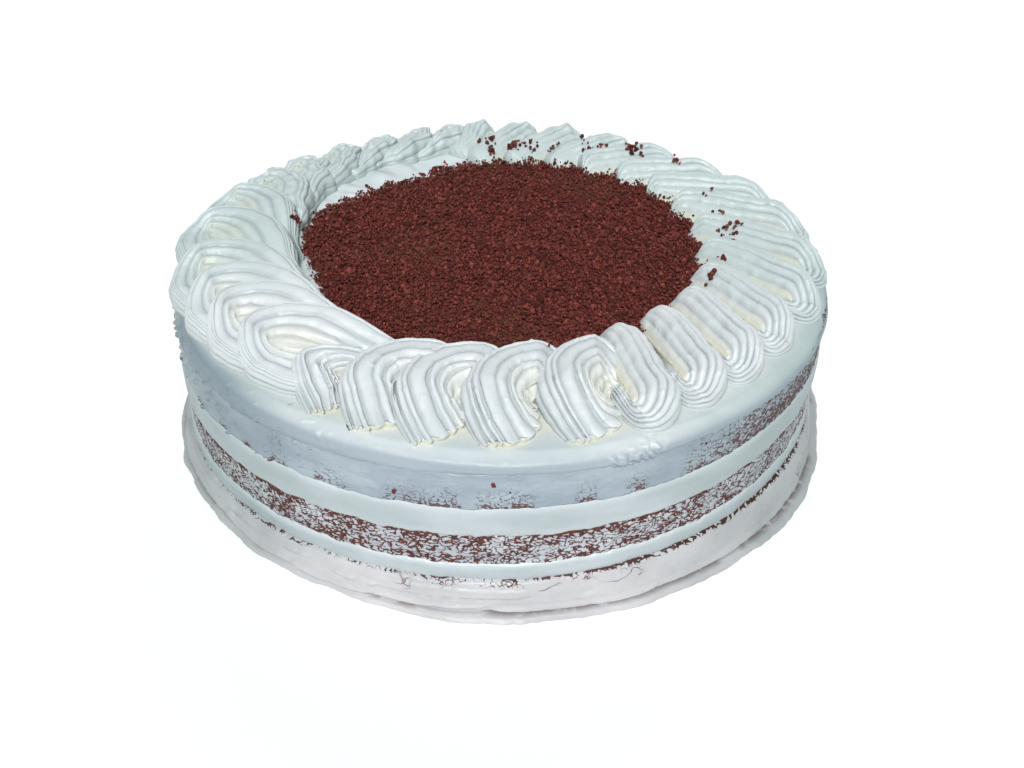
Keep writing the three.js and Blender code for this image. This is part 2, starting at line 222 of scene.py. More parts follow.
# One material and the means to add nodes to it.
class Look:
    def __init__(self, name):
        self.material = bpy.data.materials.new(name)
        self.material.use_nodes = True
        self.tree = self.material.node_tree
        self.tree.nodes.clear()

    # Any node: its type, its settings, its sockets by name or number, and which output.
    def make(self, kind, settings=None, sockets=None, output=0):
        node = self.tree.nodes.new(kind)
        for key, value in (settings or {}).items():
            setattr(node, key, value)
        for key, value in (sockets or {}).items():
            if isinstance(value, Strand):
                self.tree.links.new(value.socket, node.inputs[key])
            else:
                node.inputs[key].default_value = value
        return Strand(self, node.outputs[output])

    # Object coordinates, stretched by a scale for each axis.
    def place(self, scale=(1, 1, 1)):
        coordinates = self.make("ShaderNodeTexCoord", output="Object")
        return self.make("ShaderNodeVectorMath", {"operation": "MULTIPLY"}, {0: coordinates, 1: scale})

    def noise(self, scale, detail=2.0, stretch=(1, 1, 1), roughness=0.5):
        sockets = {"Vector": self.place(stretch), "Scale": scale, "Detail": detail, "Roughness": roughness}
        return self.make("ShaderNodeTexNoise", None, sockets, "Fac")

    def attribute(self, name):
        return self.make("ShaderNodeAttribute", {"attribute_name": name}, None, "Fac")

    def step(self, value, low, high):
        settings = {"interpolation_type": "SMOOTHSTEP"}
        sockets = {"Value": value, "From Min": low, "From Max": high}
        return self.make("ShaderNodeMapRange", settings, sockets)

    def blend(self, share, first, second):
        colours = [c if isinstance(c, Strand) else (*c, 1.0) for c in (first, second)]
        sockets = {0: share, 6: colours[0], 7: colours[1]}
        return self.make("ShaderNodeMix", {"data_type": "RGBA"}, sockets, 2)

    # Painted shade: colour multiplied by a darker tint as far as the piece is turned from the front.
    def paintTurnShade(self, colour, tint):
        sockets = {0: self.attribute("turnShade"), 6: colour, 7: (*tint, 1.0)}
        return self.make("ShaderNodeMix", {"data_type": "RGBA", "blend_type": "MULTIPLY"}, sockets, 2)

    def bump(self, height, distance, strength=1.0, under=None):
        sockets = {"Height": height, "Distance": distance, "Strength": strength}
        if under:
            sockets["Normal"] = under
        return self.make("ShaderNodeBump", None, sockets)

    def finish(self, fixed, linked):
        shader = self.make("ShaderNodeBsdfPrincipled", None, {**fixed, **linked})
        output = self.tree.nodes.new("ShaderNodeOutputMaterial")
        self.tree.links.new(shader.socket, output.inputs["Surface"])
        return self.material


# ---- materials

creamColours = {
    "crest": (0.635, 0.68, 0.70),
    # painted shade in the grooves and low on the flanks
    "grooveShade": (0.335, 0.39, 0.405),
    # painted warm shade in the hollows, on torn ends and beside the swirls
    "warmShade": (0.71, 0.69, 0.555),
    "iced": (0.64, 0.70, 0.72),
    "icedShade": (0.52, 0.60, 0.625),
    "foot": (0.535, 0.535, 0.55),
    "footShade": (0.42, 0.425, 0.44),
    # the scraped side's colour, also carried up over the icing's rim as painted shade
    "scrapedAndRimShade": (0.262, 0.322, 0.375),
    "scrapedLight": (0.355, 0.42, 0.47),
    "betweenSpecks": (0.375, 0.41, 0.45),
    "betweenLight": (0.475, 0.51, 0.535),
    # stained cream over the specks, its own colour
    "veilAndPaintedShade": (0.29, 0.26, 0.31),
    "wiped": (0.44, 0.495, 0.52),
    "wipedShade": (0.37, 0.43, 0.445),
    # darker brown in the coat's seam, in patches
    "seamDark": (0.13, 0.085, 0.07),
    # painted shade where cream turns from the front: smooth cream, then piped cream
    "turnShade": (0.70, 0.765, 0.755),
    "turnShadePiped": (0.78, 0.84, 0.82),
}
crumbColours = {
    "dark": (0.060, 0.016, 0.014),
    "middle": (0.155, 0.037, 0.030),
    "light": (0.29, 0.080, 0.060),
    "brown": (0.125, 0.045, 0.030),
}
speckColours = {"dark": (0.055, 0.015, 0.012), "light": (0.13, 0.036, 0.025)}
speckStretch = (0.62, 0.62, 1.0)


# Piped cream: cool white crests and fine bubbles, with painted shade: grey-blue in the
# grooves and low on the flanks, warm in the hollows and on torn ends, and a darker tint where
# it turns from the front.
def pipedCream():
    look = Look("pipedCream")
    grooveShade = look.step(look.attribute("grooveShade"), 0.25, 1.0)
    warmShadeAmount = look.attribute("warmShadeAmount")
    colour = look.blend(grooveShade * 0.8, creamColours["crest"], creamColours["grooveShade"])
    colour = look.blend(warmShadeAmount, colour, creamColours["warmShade"])
    patches = look.step(look.noise(60, 3), 0.35, 0.7)
    colour = look.blend(patches * 0.22, colour, creamColours["icedShade"])
    colour = look.paintTurnShade(colour, creamColours["turnShadePiped"])
    bubbles = look.noise(1400, 2)
    waves = look.noise(320, 3)
    normal = look.bump(bubbles, 0.00013, 0.5)
    normal = look.bump(waves, 0.0005, 0.5, normal)
    rough = 0.34 + look.noise(240, 2) * 0.22
    fixed = {"Subsurface Weight": 0.12, "Subsurface Radius": (0.9, 0.95, 1.0), "Subsurface Scale": 0.0025}
    return look.finish(fixed, {"Base Color": colour, "Roughness": rough, "Normal": normal})


# Smoothed icing on the top and rim, with painted shade: the scraped side's colour carried up
# over the rim, warm beside the swirls, and a darker tint where it turns from the front.
def smoothCream():
    look = Look("smoothCream")
    soft = look.step(look.noise(28, 3), 0.3, 0.75)
    colour = look.blend(soft, creamColours["iced"], creamColours["icedShade"])
    colour = look.blend(look.attribute("veilAndPaintedShade"), colour, creamColours["scrapedAndRimShade"])
    colour = look.blend(look.attribute("warmShadeAmount"), colour, creamColours["warmShade"])
    colour = look.paintTurnShade(colour, creamColours["turnShade"])
    spread = look.noise(55, 4, (1, 1, 4))
    fine = look.noise(900, 2)
    normal = look.bump(fine, 0.00012, 0.45)
    normal = look.bump(spread, 0.0009, 0.45, normal)
    rough = 0.36 + look.noise(120, 2) * 0.2
    return look.finish({}, {"Base Color": colour, "Roughness": rough, "Normal": normal})


# Curves are 0 where a stretched noise passes its middle; patches break them up.
def speckCurves(look):
    curves = abs(look.noise(760, 1.6, speckStretch) - 0.5) * 3.6
    patches = look.step(look.noise(300, 2, speckStretch), 0.25, 0.6)
    return curves, patches


# Sponge side under scraped cream: specks lie along the curves, wider where the attribute
# "bare" is high, in a thin veil of stained cream, with a darker tint of painted shade where
# the side turns from the front.
def scrapedSide(name, thin, thick, strength):
    look = Look(name)
    bare = look.attribute("bare")
    curves, patches = speckCurves(look)
    crumbs = look.noise(1700, 2)
    reach = bare * (0.22 + patches * 0.38) + (crumbs - 0.5) * 0.34 * bare
    speck = look.step(reach - curves, -0.02, 0.07)
    veilAndPaintedShade = look.step(reach - curves * 0.4, -0.05, 0.4)
    base = look.blend(look.step(look.noise(46, 3, (1, 1, 2.2)), 0.3, 0.7), thin, thick)
    base = look.blend(veilAndPaintedShade * 0.6, base, creamColours["veilAndPaintedShade"])
    red = look.blend(look.step(look.noise(700, 2), 0.35, 0.7), speckColours["dark"], speckColours["light"])
    colour = look.paintTurnShade(look.blend(speck * strength, base, red), creamColours["turnShade"])
    drag = look.noise(90, 4, (0.35, 0.35, 2.5))
    normal = look.bump(1 - speck, 0.0004, 0.7)
    normal = look.bump(drag, 0.0007, 0.4, normal)
    rough = 0.42 + speck * 0.45
    return look.finish({}, {"Base Color": colour, "Roughness": rough, "Normal": normal})


# Cream that oozes from a filling and was wiped smooth round the side, with painted light at
# its paler edges and a darker tint of painted shade where it turns from the front.
def wipedCream():
    look = Look("wipedCream")
    soft = look.step(look.noise(40, 3, (1, 1, 2)), 0.3, 0.7)
    colour = look.blend(soft, creamColours["wiped"], creamColours["wipedShade"])
    colour = look.blend(look.attribute("veilAndPaintedShade"), colour, creamColours["iced"])
    colour = look.paintTurnShade(colour, creamColours["turnShade"])
    wiped = look.noise(70, 4, (0.3, 0.3, 2.6))
    normal = look.bump(wiped, 0.0006, 0.35)
    rough = 0.36 + look.noise(150, 2) * 0.15
    return look.finish({}, {"Base Color": colour, "Roughness": rough, "Normal": normal})


# The pinkish coat round the foot, with creases, short cracks, a seam darkened to brown in
# patches, and a darker tint of painted shade where it turns from the front.
def footCream():
    look = Look("footCream")
    soft = look.step(look.noise(34, 4, (1, 1, 1.6)), 0.3, 0.72)
    colour = look.blend(soft, creamColours["foot"], creamColours["footShade"])
    cracks = abs(look.noise(60, 3, (1, 1, 1.5)) - 0.5)
    here = look.step(look.noise(45, 2), 0.56, 0.66)
    crack = look.step(cracks, 0.010, 0.003) * here
    seam = look.attribute("seam")
    patchy = look.step(look.noise(420, 3, (0.5, 0.5, 1)), 0.36, 0.52)
    # The seam darkened to brown in patches.
    seamPatches = seam * patchy
    bare = look.attribute("bare")
    curves, patches = speckCurves(look)
    speck = look.step(bare * (0.12 + patches * 0.55) - curves, -0.02, 0.08)
    colour = look.blend(crack * 0.7, colour, speckColours["light"])
    colour = look.blend(seamPatches * 0.8, colour, creamColours["seamDark"])
    colour = look.blend(speck, colour, speckColours["dark"])
    colour = look.paintTurnShade(colour, creamColours["turnShade"])
    smears = look.noise(60, 4, (0.4, 0.4, 2.0))
    normal = look.bump(1 - crack, 0.0006, 0.7)
    normal = look.bump(smears, 0.0008, 0.4, normal)
    rough = 0.38 + look.noise(180, 2) * 0.2
    return look.finish({}, {"Base Color": colour, "Roughness": rough, "Normal": normal})


# Crumbs: dark spots of painted shade in their pores, a fine random tone from dark to light
# red, browner patches, and each grain in its own random tone.
def crumbGrain(name, hasShade):
    look = Look(name)
    tone = look.noise(650, 4, (1, 1, 1), 0.65)
    if hasShade:
        tone = tone * 0.6 + look.attribute("shade") * 0.4
    low = look.blend(look.step(tone, 0.32, 0.55), crumbColours["dark"], crumbColours["middle"])
    colour = look.blend(look.step(tone, 0.52, 0.8), low, crumbColours["light"])
    colour = look.blend(look.step(look.noise(24, 3), 0.45, 0.65) * 0.4, colour, crumbColours["brown"])
    # Painted shade in the pores: dark spots.
    poreShade = look.step(look.noise(210, 2), 0.36, 0.28)
    colour = look.blend(poreShade * 0.75, colour, crumbColours["dark"])
    normal = look.bump(look.noise(2600, 3), 0.00025, 0.9)
    fixed = {"Roughness": 0.95, "Specular IOR Level": 0.15}
    return look.finish(fixed, {"Base Color": colour, "Normal": normal})


piped = pipedCream()
smooth = smoothCream()
topColours = creamColours["scrapedAndRimShade"], creamColours["scrapedLight"]
middleColours = creamColours["betweenSpecks"], creamColours["betweenLight"]
scrapedTop = scrapedSide("scrapedTop", *topColours, 0.85)
scrapedMiddle = scrapedSide("scrapedMiddle", *middleColours, 1.0)
wiped = wipedCream()
foot = footCream()
crumbBedLook = crumbGrain("crumbBedLook", False)
crumbLook = crumbGrain("crumbLook", True)
print("materials made")


# ---- the layers

cake = {
    "radius": 122.0,
    "icedHeight": 61.0,
    "columns": 1080,
    "climb": 4.0,  # how much higher a joint is at +X than in the middle
    # height of each joint between two bands, from the coat's top to the icing's foot
    "joints": {"coatTop": 11.8, "lowerCream": 17.6, "upperCream": 30.4, "topSponge": 41.6, "icing": 55.4},
}
azimuths = np.linspace(0, 2 * np.pi, cake["columns"], endpoint=False)
around = polar(1.0, azimuths)
ring = around * cake["radius"]


# The iced side wanders in and out a little, as in the solids.
def sideWander(azimuth):
    return 0.45 * np.sin(2 * azimuth + 0.7) + 0.3 * np.sin(5 * azimuth + 2.1)


# Height of a joint round the cake: level plus the climb towards +X plus small waves.
def jointLine(name, wave, seed):
    level = cake["joints"][name] + cake["climb"] * around[:, 0]
    return level + wave * ripple(ring, 14, seed) + 0.5 * wave * ripple(ring, 4, seed + 50)


# How far an azimuth lies inside a stretch from low to high degrees, softened at its ends.
def stretch(low, high, soft=8.0):
    middle = np.radians((low + high) / 2)
    away = np.degrees(np.abs((azimuths - middle + np.pi) % (2 * np.pi) - np.pi))
    return smoothStep((high - low) / 2 - away, -soft / 2, soft / 2)


# Points at a radius and height for each azimuth, one row after another.
def sidePoints(radius, height):
    reach, height = np.broadcast_arrays(radius + 0 * azimuths, height + 0 * azimuths)
    return np.stack([reach * around[:, 0], reach * around[:, 1], height], -1)


# A grid or its values with the first and the last row doubled.
def padRows(value):
    return np.concatenate([value[:1], value, value[-1:]])


# A layer's body: flat bottom, a side whose radius and height are given per row, flat top.
def layerPiece(name, radius, height, material, values):
    grid = padRows(sidePoints(radius + sideWander(azimuths), height))
    grid[[0, -1], :, :2] *= 0.5
    low, high = ([0, 0, height[row].mean()] for row in (0, -1))
    padded = {key: padRows(value) for key, value in values.items()}
    return gridPiece(name, grid, low, high, material, padded)


# A sponge side: a plain wall between two joints with dragged ridges and small pits.
spongeSide = {"radius": 121.35, "relief": 0.22, "rows": 36}


# Small long beads of cream that the scraper left, mostly at the left: peaks of a ripple.
def creamBeads(points):
    peaks = smoothStep(ripple(points * np.array([1.0, 1.0, 0.55]), 3.2, 57), 0.6, 1.15)
    return peaks * (0.12 + 0.88 * stretch(186, 250, 20))


# Radius: the side's, rippled in long drags and short pits, sunk where bare. A band with
# extra radius lies under thicker cream and has beads on it.
def spongeBand(name, low, high, material, bare, extra=0.0):
    rise = np.linspace(0, 1, spongeSide["rows"])[:, None]
    height = low + (high - low) * rise
    points = sidePoints(cake["radius"], height)
    dragged = ripple(points * np.array([0.35, 0.35, 1.8]), 7, 11) * 0.6
    pitted = ripple(points * np.array([0.6, 0.6, 1.2]), 2.6, 12) * 0.5
    radius = spongeSide["radius"] + spongeSide["relief"] * (dragged + pitted - 0.9 * bare) + extra
    radius = radius + creamBeads(points) * (extra > 0)
    piece = layerPiece(name, radius, height, material, {"bare": bare})
    return piece


# proud and edge: radius over the sponge's in a band's middle and at its edges
creamSide = {"proud": 0.75, "edge": -0.75, "lap": 0.9, "rows": 30}


# A cream band, wiped flat: radius is a crown, 1 - |2 rise - 1|^6, with dragged ripples. Its
# upper and lower edges get painted light: paler cream.
def creamBand(name, low, high):
    rise = np.linspace(0, 1, creamSide["rows"])[:, None]
    height = low - creamSide["lap"] + (high - low + 2 * creamSide["lap"]) * rise
    points = sidePoints(cake["radius"], height)
    crown = 1 - np.abs(2 * rise - 1) ** 6
    relief = 0.12 * ripple(points * np.array([0.3, 0.3, 1.5]), 8, 21) + 0.05 * ripple(points, 3, 22)
    edge = spongeSide["radius"] + creamSide["edge"]
    radius = edge + (creamSide["proud"] - creamSide["edge"]) * crown + relief
    # Painted light: paler cream at the band's upper and lower edges.
    paintedLightEdges = np.abs(2 * rise - 1) ** 4 * np.ones_like(radius)
    piece = layerPiece(name, radius, height, wiped, {"veilAndPaintedShade": paintedLightEdges})
    return piece


rise = np.linspace(0, 1, spongeSide["rows"])[:, None]
lineCoat = jointLine("coatTop", 0.35, 31)
lineLower = jointLine("lowerCream", 0.4, 32)
lineUpper = jointLine("upperCream", 0.4, 33)
lineTop = jointLine("topSponge", 0.3, 34)
lineIcing = jointLine("icing", 0.35, 35) - 0.8 * stretch(225, 290)
left = stretch(170, 232, 16)
front = stretch(238, 300, 14)
right = stretch(308, 372, 20)
back = clip01(1 - left - front - right)
clusters = smoothStep(ripple(ring, 16, 41), -0.2, 0.6)

# Where the sponge shows on the top layer: along its lower edge, and all over at the right.
lowEdge = bell(rise, 0.0, 0.13)
bareTop = lowEdge * clusters * (0.62 * front + 0.8 * left + 0.6 * back)
bareTop = bareTop + right * (0.42 + 0.48 * bell(rise, 0.22, 0.3))
bareTop = bareTop + front * 0.16 * bell(rise, 0.25, 0.3) * clusters + back * 0.12 * clusters
# On the middle layer: densest along its upper edge, with a second line low down.
topEdge = bell(rise, 1.0, 0.16)
secondLine = bell(rise, 0.16, 0.12)
bareMiddle = 0.60 + 0.50 * topEdge + 0.22 * secondLine - 0.15 * right
bareMiddle = bareMiddle + left * (0.35 * topEdge - 0.12 * (1 - topEdge))
bareMiddle = bareMiddle * (0.8 + 0.2 * ripple(sidePoints(cake["radius"], rise * 13), 14, 42))

bodySponge = spongeBand("spongeMiddle", lineLower, lineUpper, scrapedMiddle, clip01(bareMiddle))
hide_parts("sponge_middle")
topSponge = spongeBand("spongeTop", lineTop, lineIcing + 0.3, scrapedTop, clip01(bareTop), 0.25)
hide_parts("sponge_top")
creamLower = creamBand("fillingLower", lineCoat, lineLower)
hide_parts("filling_lower")
creamUpper = creamBand("fillingUpper", lineUpper, lineTop)
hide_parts("filling_upper")
bottomSponge = frame["nodes"]["sponge_bottom"]
bottomSponge.data.materials.clear()
bottomSponge.data.materials.append(scrapedMiddle)
print("layers made")


# ---- the coat round the foot

coat = {
    "inner": 120.6,
    # radius and share of the height down the section: top lip, belly, waist, seam and skirt
    "section": [(121.6, 1.0), (123.3, 0.93), (124.2, 0.72), (125.2, 0.42), (126.0, 0.20), (125.6, 0.14),
                (127.0, 0.155), (128.3, 0.09), (129.1, 0.0)],
    "rowsEach": 7,
    "footDrift": 1.28,  # how far the skirt wanders in and out
    "seam": (0.145, 0.022, 1.6),  # share of the height, width and depth
    "bareLip": (0.985, 0.032),  # where crumbs show under the lip, and how wide
    "bareBelly": (0.9, 0.08),
    # smears laid over the coat: azimuth span in degrees, height span in mm, thickness
    "smears": [(222, 253, 1.8, 7.4, 1.2), (238, 270, 2.4, 5.6, 1.0), (196, 224, 2.0, 8.0, 0.9),
               (206, 241, 6.2, 9.8, 0.8), (246, 276, 6.0, 9.2, 0.7), (270, 296, 2.2, 6.4, 0.8),
               (284, 318, 2.6, 8.4, 0.6), (120, 150, 2.2, 8.2, 0.7), (60, 92, 2.0, 7.4, 0.7),
               (2, 30, 2.4, 8.0, 0.6)],
}


# The section is carried round, its foot drifting in and out by waves of the azimuth. Each
# smear lifts it inside a long rounded patch, by its thickness times a step at the edge.
def footCoat():
    section = np.array(coat["section"])
    steps = np.arange(0, len(section) - 1 + 1e-9, 1 / coat["rowsEach"])
    profileRadius = np.interp(steps, np.arange(len(section)), section[:, 0])
    profileHeight = np.interp(steps, np.arange(len(section)), section[:, 1])
    kernel = np.hanning(7)[1:-1]  # rounds the corners over five rows
    for profile in (profileRadius, profileHeight):
        profile[2:-2] = np.convolve(profile, kernel / kernel.sum(), "valid")
    profileRadius = profileRadius[::-1, None]
    profileHeight = profileHeight[::-1, None]
    top = lineCoat + 0.5
    height = profileHeight * top
    low = 1 - smoothStep(profileHeight, 0.0, 0.35)
    spread = np.cos(azimuths) + 0.4 * np.sin(7 * azimuths) + 0.25 * np.sin(11 * azimuths + 1)
    spread = spread + 0.45 * ripple(ring, 22, 61) + 0.14 * ripple(ring, 6, 62)
    radius = profileRadius + low * coat["footDrift"] * spread
    points = sidePoints(radius, height)
    radius = radius + 0.28 * ripple(points * np.array([0.3, 0.3, 1.4]), 11, 63)
    radius = radius + 0.08 * ripple(points, 2.6, 64)
    degrees = np.degrees(azimuths)
    for first, last, bottom, crest, thickness in coat["smears"]:
        middle = (first + last) / 2
        away = (degrees - middle + 180) % 360 - 180
        across = np.abs(away) / ((last - first) / 2)
        upDown = np.abs(height - (bottom + crest) / 2 - 0.03 * away) / ((crest - bottom) / 2)
        inside = 1 - (across ** 6 + upDown ** 4) ** 0.25
        radius = radius + thickness * smoothStep(inside, -0.05, 0.08) * (0.6 + 0.4 * upDown.clip(0, 1))
    seamPlace, seamWidth, seamDepth = coat["seam"]
    openness = ripple(ring, 30, 65) + 0.8 * stretch(268, 380, 12) + 0.5 * stretch(175, 215)
    seam = bell(profileHeight, seamPlace, seamWidth) * smoothStep(openness, 0.1, 0.6)
    radius = radius - seamDepth * seam
    bare = bell(profileHeight, *coat["bareLip"]) * (0.35 + 0.5 * stretch(272, 375, 14))
    bare = bare + 0.25 * bell(profileHeight, *coat["bareBelly"]) * stretch(262, 300) * clusters
    grid = padRows(sidePoints(radius, height))
    grid[0] = sidePoints(coat["inner"], 0.0)
    grid[-1] = sidePoints(coat["inner"], top)
    values = {"seam": padRows(seam), "bare": padRows(bare)}
    piece = gridPiece("footCoat", grid, None, None, foot, values)
    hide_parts("base_coat")


footCoat()
print("foot coat made")


# ---- the piped swirls

swirl = {
    "columns": 176,
    "rowsEach": 9,  # rows for each ridge
    "sink": 0.8,  # how far the foot goes into the icing
    "curl": 20.0,  # degrees the flank curls in under its widest line
    "middleShare": 0.4,  # where a swirl's middle is on its hollow line
    "grooveDepth": 1.9,
    "grooveShare": 0.5,  # a groove's depth as a share of its ridge's width, at most grooveDepth
    "leastGroove": 0.35,  # share of its depth that a groove keeps where ridges crowd
    "outlineWobble": 0.22,
    "tornRound": 22.0,  # length over which a torn end comes down towards the icing
    "tornFall": 0.72,  # share of its height that it loses there
    "toothDepth": 1.3,  # how far each ridge stands out of a torn end
    "tornFrom": 0.06,  # rows nearer the foot than this end where the one here does
    # columns that close a torn end: how far each stands out of it, and its share of height
    "tornWall": [(0.16, 0.94), (0.02, 0.82), (-0.35, 0.6), (-0.6, 0.3), (-0.7, 0.0)],
    "hiddenWall": [0.0, 0.25, 0.5, 0.75, 0.92],  # shares of height at the other, hidden end
    "tailLength": 17.0,  # length over which a style's tailFade smooths the ridges
    # painted shade: grey low on the flanks, where swirls meet
    "creaseShade": 0.4,  # shade low on the flanks, where swirls meet
}

# Outlines by style, seen from above, as [across, out] points in mm: across is sideways
# to the side where the swirl opens, out is the distance from the cake's axis. The ridges
# run in nested curves round the hollow line, which is given by its two ends. Other values:
# ridges: width, depth of the groove and softness of each, from foot to hollow; softness 0
#   is a round arch and 1 a wave
# closedEnd, ease: share u of the outline that is drawn to the hollow's start, how sharply
# hollowReach: share of the hollow line that is used
# open: the shares u where an open style starts and ends
# torn, tornOuter: a torn end's circle [across, out, radius], and out where it is torn
# flankShare, flank: share of the rows on the flank, its width on the bold side, outwards,
#   inwards and on the open side
# drops: shares of the height that are lost at the tip, the outer end and the open side
# floor, bend: height at the two ends of the hollow line, how steeply the dish falls to it
# dip: a groove between flank and dish, as its row's share, width and depth
# tail, tailFade: share of height and of ridges lost round the first point, and how far
# startRound, endRound: lengths over which an open style comes down to the icing
# warmShade, warmShadeFrom: strength of the painted warm shade in the hollow, and the rows'
# share where it starts
# wobble, rough: how unevenly the outline and the surface run
# lumps, calm: number of small bubbles, share of the ridges lost at the inner end
# peak: a small pulled peak, as across, out, height and size
swirlStyles = {
    "crescent": {
        "outline": [[21, 71], [10.5, 71.5], [0.5, 75], [-6.8, 81.5], [-10.3, 89.5], [-10.8, 98],
                    [-8.5, 107], [-3.5, 117], [6, 128], [21, 132], [32, 120], [34, 100], [30, 82]],
        "closedEnd": 0.38,
        "ease": 1.0,
        "hollow": [[11.5, 94.5], [13.5, 91.5]],
        "open": [-0.10, 0.80],
        "torn": [1, 102.5, 13.2],
        "tornOuter": 117.0,
        "ridges": [(3.9, 0.7, 0), (4.1, 1, 0), (2.4, 1, 0), (2.3, 1, 0.1), (5.2, 0.55, 0.5),
                   (3.6, 0.9, 0.5), (2.3, 0.9, 0.5), (2.2, 0.9, 0.6), (1.8, 0.8, 0.7)],
        "flankShare": 0.55,
        "flank": [9.2, 9.5, 6.5, 5.0],
        "drops": {"tip": 0.12, "end": 0.15, "opening": 0.35},
        "floor": [0.72, 0.6],
        "bend": 1.5,
        "dip": [0.52, 0.09, 1.1],
        "warmShade": 0.42,
        "lumps": 26,
    },
    "loop": {
        "closedEnd": 0.385,
        "ease": 1.9,
        "outline": [[24, 70], [11.5, 74.5], [-2, 77], [-15, 81.5], [-25, 90], [-28.5, 100],
                    [-26, 108.5], [-19, 115], [-9, 118], [2, 116.5], [13, 111], [21, 101], [26, 86]],
        "hollow": [[-9.5, 106.0], [12, 88]],
        "open": None,
        "torn": None,
        "ridges": [(3.2, 0.6, 0), (3.6, 0.9, 0), (2.6, 1, 0), (1.9, 1.1, 0), (1.8, 1.1, 0.1),
                   (4.6, 0.6, 0.7), (3.8, 0.85, 1), (3.2, 0.9, 1), (2.6, 0.9, 1)],
        "flankShare": 0.53,
        "flank": [4.6, 3.5, 5.4, 3.5],
        "drops": {"tip": 0.2, "end": 0.5, "opening": 0.42},
        "tail": [0.72, 13.0],
        "floor": [0.62, 0.5],
        "bend": 1.5,
        "dip": [0.5, 0.1, 0.0],
        "warmShade": 0.5,
        "lumps": 5,
    },
    "drop": {
        "closedEnd": 0.54,
        "ease": 1.5,
        "outline": [[-13, 71], [-18, 73], [-20.5, 81], [-18.5, 91], [-15.5, 102], [-14, 110],
                    [-8.5, 116], [-1, 118.5], [4.5, 115.5], [6, 109], [4.5, 100], [0, 90], [-6, 78]],
        "hollow": [[1.8, 106.5], [-9, 66]],
        "hollowReach": 1.0,
        "open": [0.045, 0.82],
        "torn": None,
        "startRound": 7.0,
        "endRound": 12.0,
        "ridges": [(4.4, 0.8, 0), (4.2, 1, 0), (3.4, 1.1, 0), (3.8, 1, 0.1), (3.8, 0.9, 0.3),
                   (3.4, 0.8, 0.5), (2.6, 0.7, 0.7)],
        "flankShare": 0.52,
        "flank": [6.6, 3.5, 6.0, 2.6],
        "drops": {"tip": 0.0, "end": 0.65, "opening": 0.5},
        "floor": [0.42, 0.12],
        "bend": 1.9,
        "dip": [0.5, 0.1, 0.0],
        "warmShade": 0.9,
        "warmShadeFrom": 0.85,
        "lumps": 34,
        "rough": 0.14,
        "calm": 0.42,
    },
}
# At the back the loops are rough humps, and the drops end in small pulled peaks.
swirlStyles["hump"] = {
    **swirlStyles["loop"],
    "wobble": 1.2,
    "lumps": 30,
    "rough": 0.85,
    "tailFade": 1.0,
    "ridges": [(4.6, 0.3, 0.4), (5.2, 0.5, 0.3), (3.8, 0.6, 0.3), (3.6, 0.5, 0.5), (4.6, 0.4, 0.7),
               (4.0, 0.6, 1), (3.2, 0.5, 1)],
}
swirlStyles["peaked"] = {
    **swirlStyles["drop"],
    "wobble": 0.5,
    "rough": 0.3,
    "peak": [-4, 108.5, 2.6, 2.6],
    "tail": [0.6, 13.0],
    "tailFade": 0.9,
}

# Two runs from the back to the front, as in the solids: azimuth in degrees, style, width
# against the style's, inner and outer end, lean of the inner end, height, and for some
# how far the outer end swings sideways.
leftRun = [
    [111, "hump", 0.74, 89, 110, 0, 11.0],
    [120, "hump", 0.80, 88, 111, 2, 10.8],
    [130, "hump", 0.82, 87, 111.5, 2, 10.2],
    [140, "hump", 0.82, 85, 114, 2, 9.8],
    [151, "hump", 0.82, 80, 115.5, 2, 10.4],
    [161, "hump", 0.78, 75, 118, 2, 11.4],
    [171, "loop", 0.70, 73, 121, 2, 13.0],
    [185, "loop", 0.85, 70, 123, 2, 13.5],
    [201, "loop", 0.92, 69, 122.5, 2, 14.0],
    [212, "loop", 0.95, 68, 120, 1, 14.0],
    [222.5, "loop", 1.0, 69, 118, -3, 14.0],
    [232, "loop", 1.0, 68, 115.5, 0, 13.0],
    [236, "crescent", 0.85, 87, 115.5, 0, 11.5, 9],
    [247, "crescent", 1.0, 74, 119, 0, 13.0, 8],
    [257, "crescent", 1.0, 72, 119, 0, 13.0, 7],
    [270, "crescent", 1.0, 71, 118, 0, 13.0, 2],
    [284, "crescent", 0.94, 72, 117, 0, 13.0, -1],
]
rightRun = [
    [94, "peaked", 1.0, 86, 111, 0, 12.5],
    [82, "peaked", 1.20, 78, 112, -7, 12.5],
    [70.5, "peaked", 1.20, 77, 113, -8, 12.5],
    [58.5, "peaked", 1.20, 77, 114, -8, 12.5],
    [46.5, "drop", 1.25, 76, 115, -9, 13.0],
    [33.5, "drop", 1.25, 76, 117, -10, 13.5],
    [20.5, "drop", 1.30, 75, 121.5, -10, 14.0],
    [8.5, "drop", 1.30, 75, 123, -10, 14.0],
    [-5.5, "drop", 1.25, 74, 122.5, -9, 14.0],
    [-18.5, "drop", 1.20, 73, 120, -8, 14.0],
    [-31.5, "drop", 1.15, 72, 115.5, -7, 14.0],
    [-43.5, "drop", 1.10, 71, 114.5, -5, 13.5],
    [-54, "drop", 1.05, 70, 114.5, -1, 13.5],
    [-65, "drop", 1.0, 70, 117.5, 3, 13.5],
]


# A closed Catmull-Rom curve through points, at shares u of the way round.
def closedCurve(points, u):
    count = len(points)
    place = (u % 1) * count
    index = np.floor(place).astype(int)
    t = (place - index)[..., None]
    before, start, end, after = (points[(index + shift) % count] for shift in (-1, 0, 1, 2))
    return 0.5 * (2 * start + (end - before) * t + (2 * before - 5 * start + 4 * end - after) * t ** 2
                  + (3 * start - before - 3 * end + after) * t ** 3)


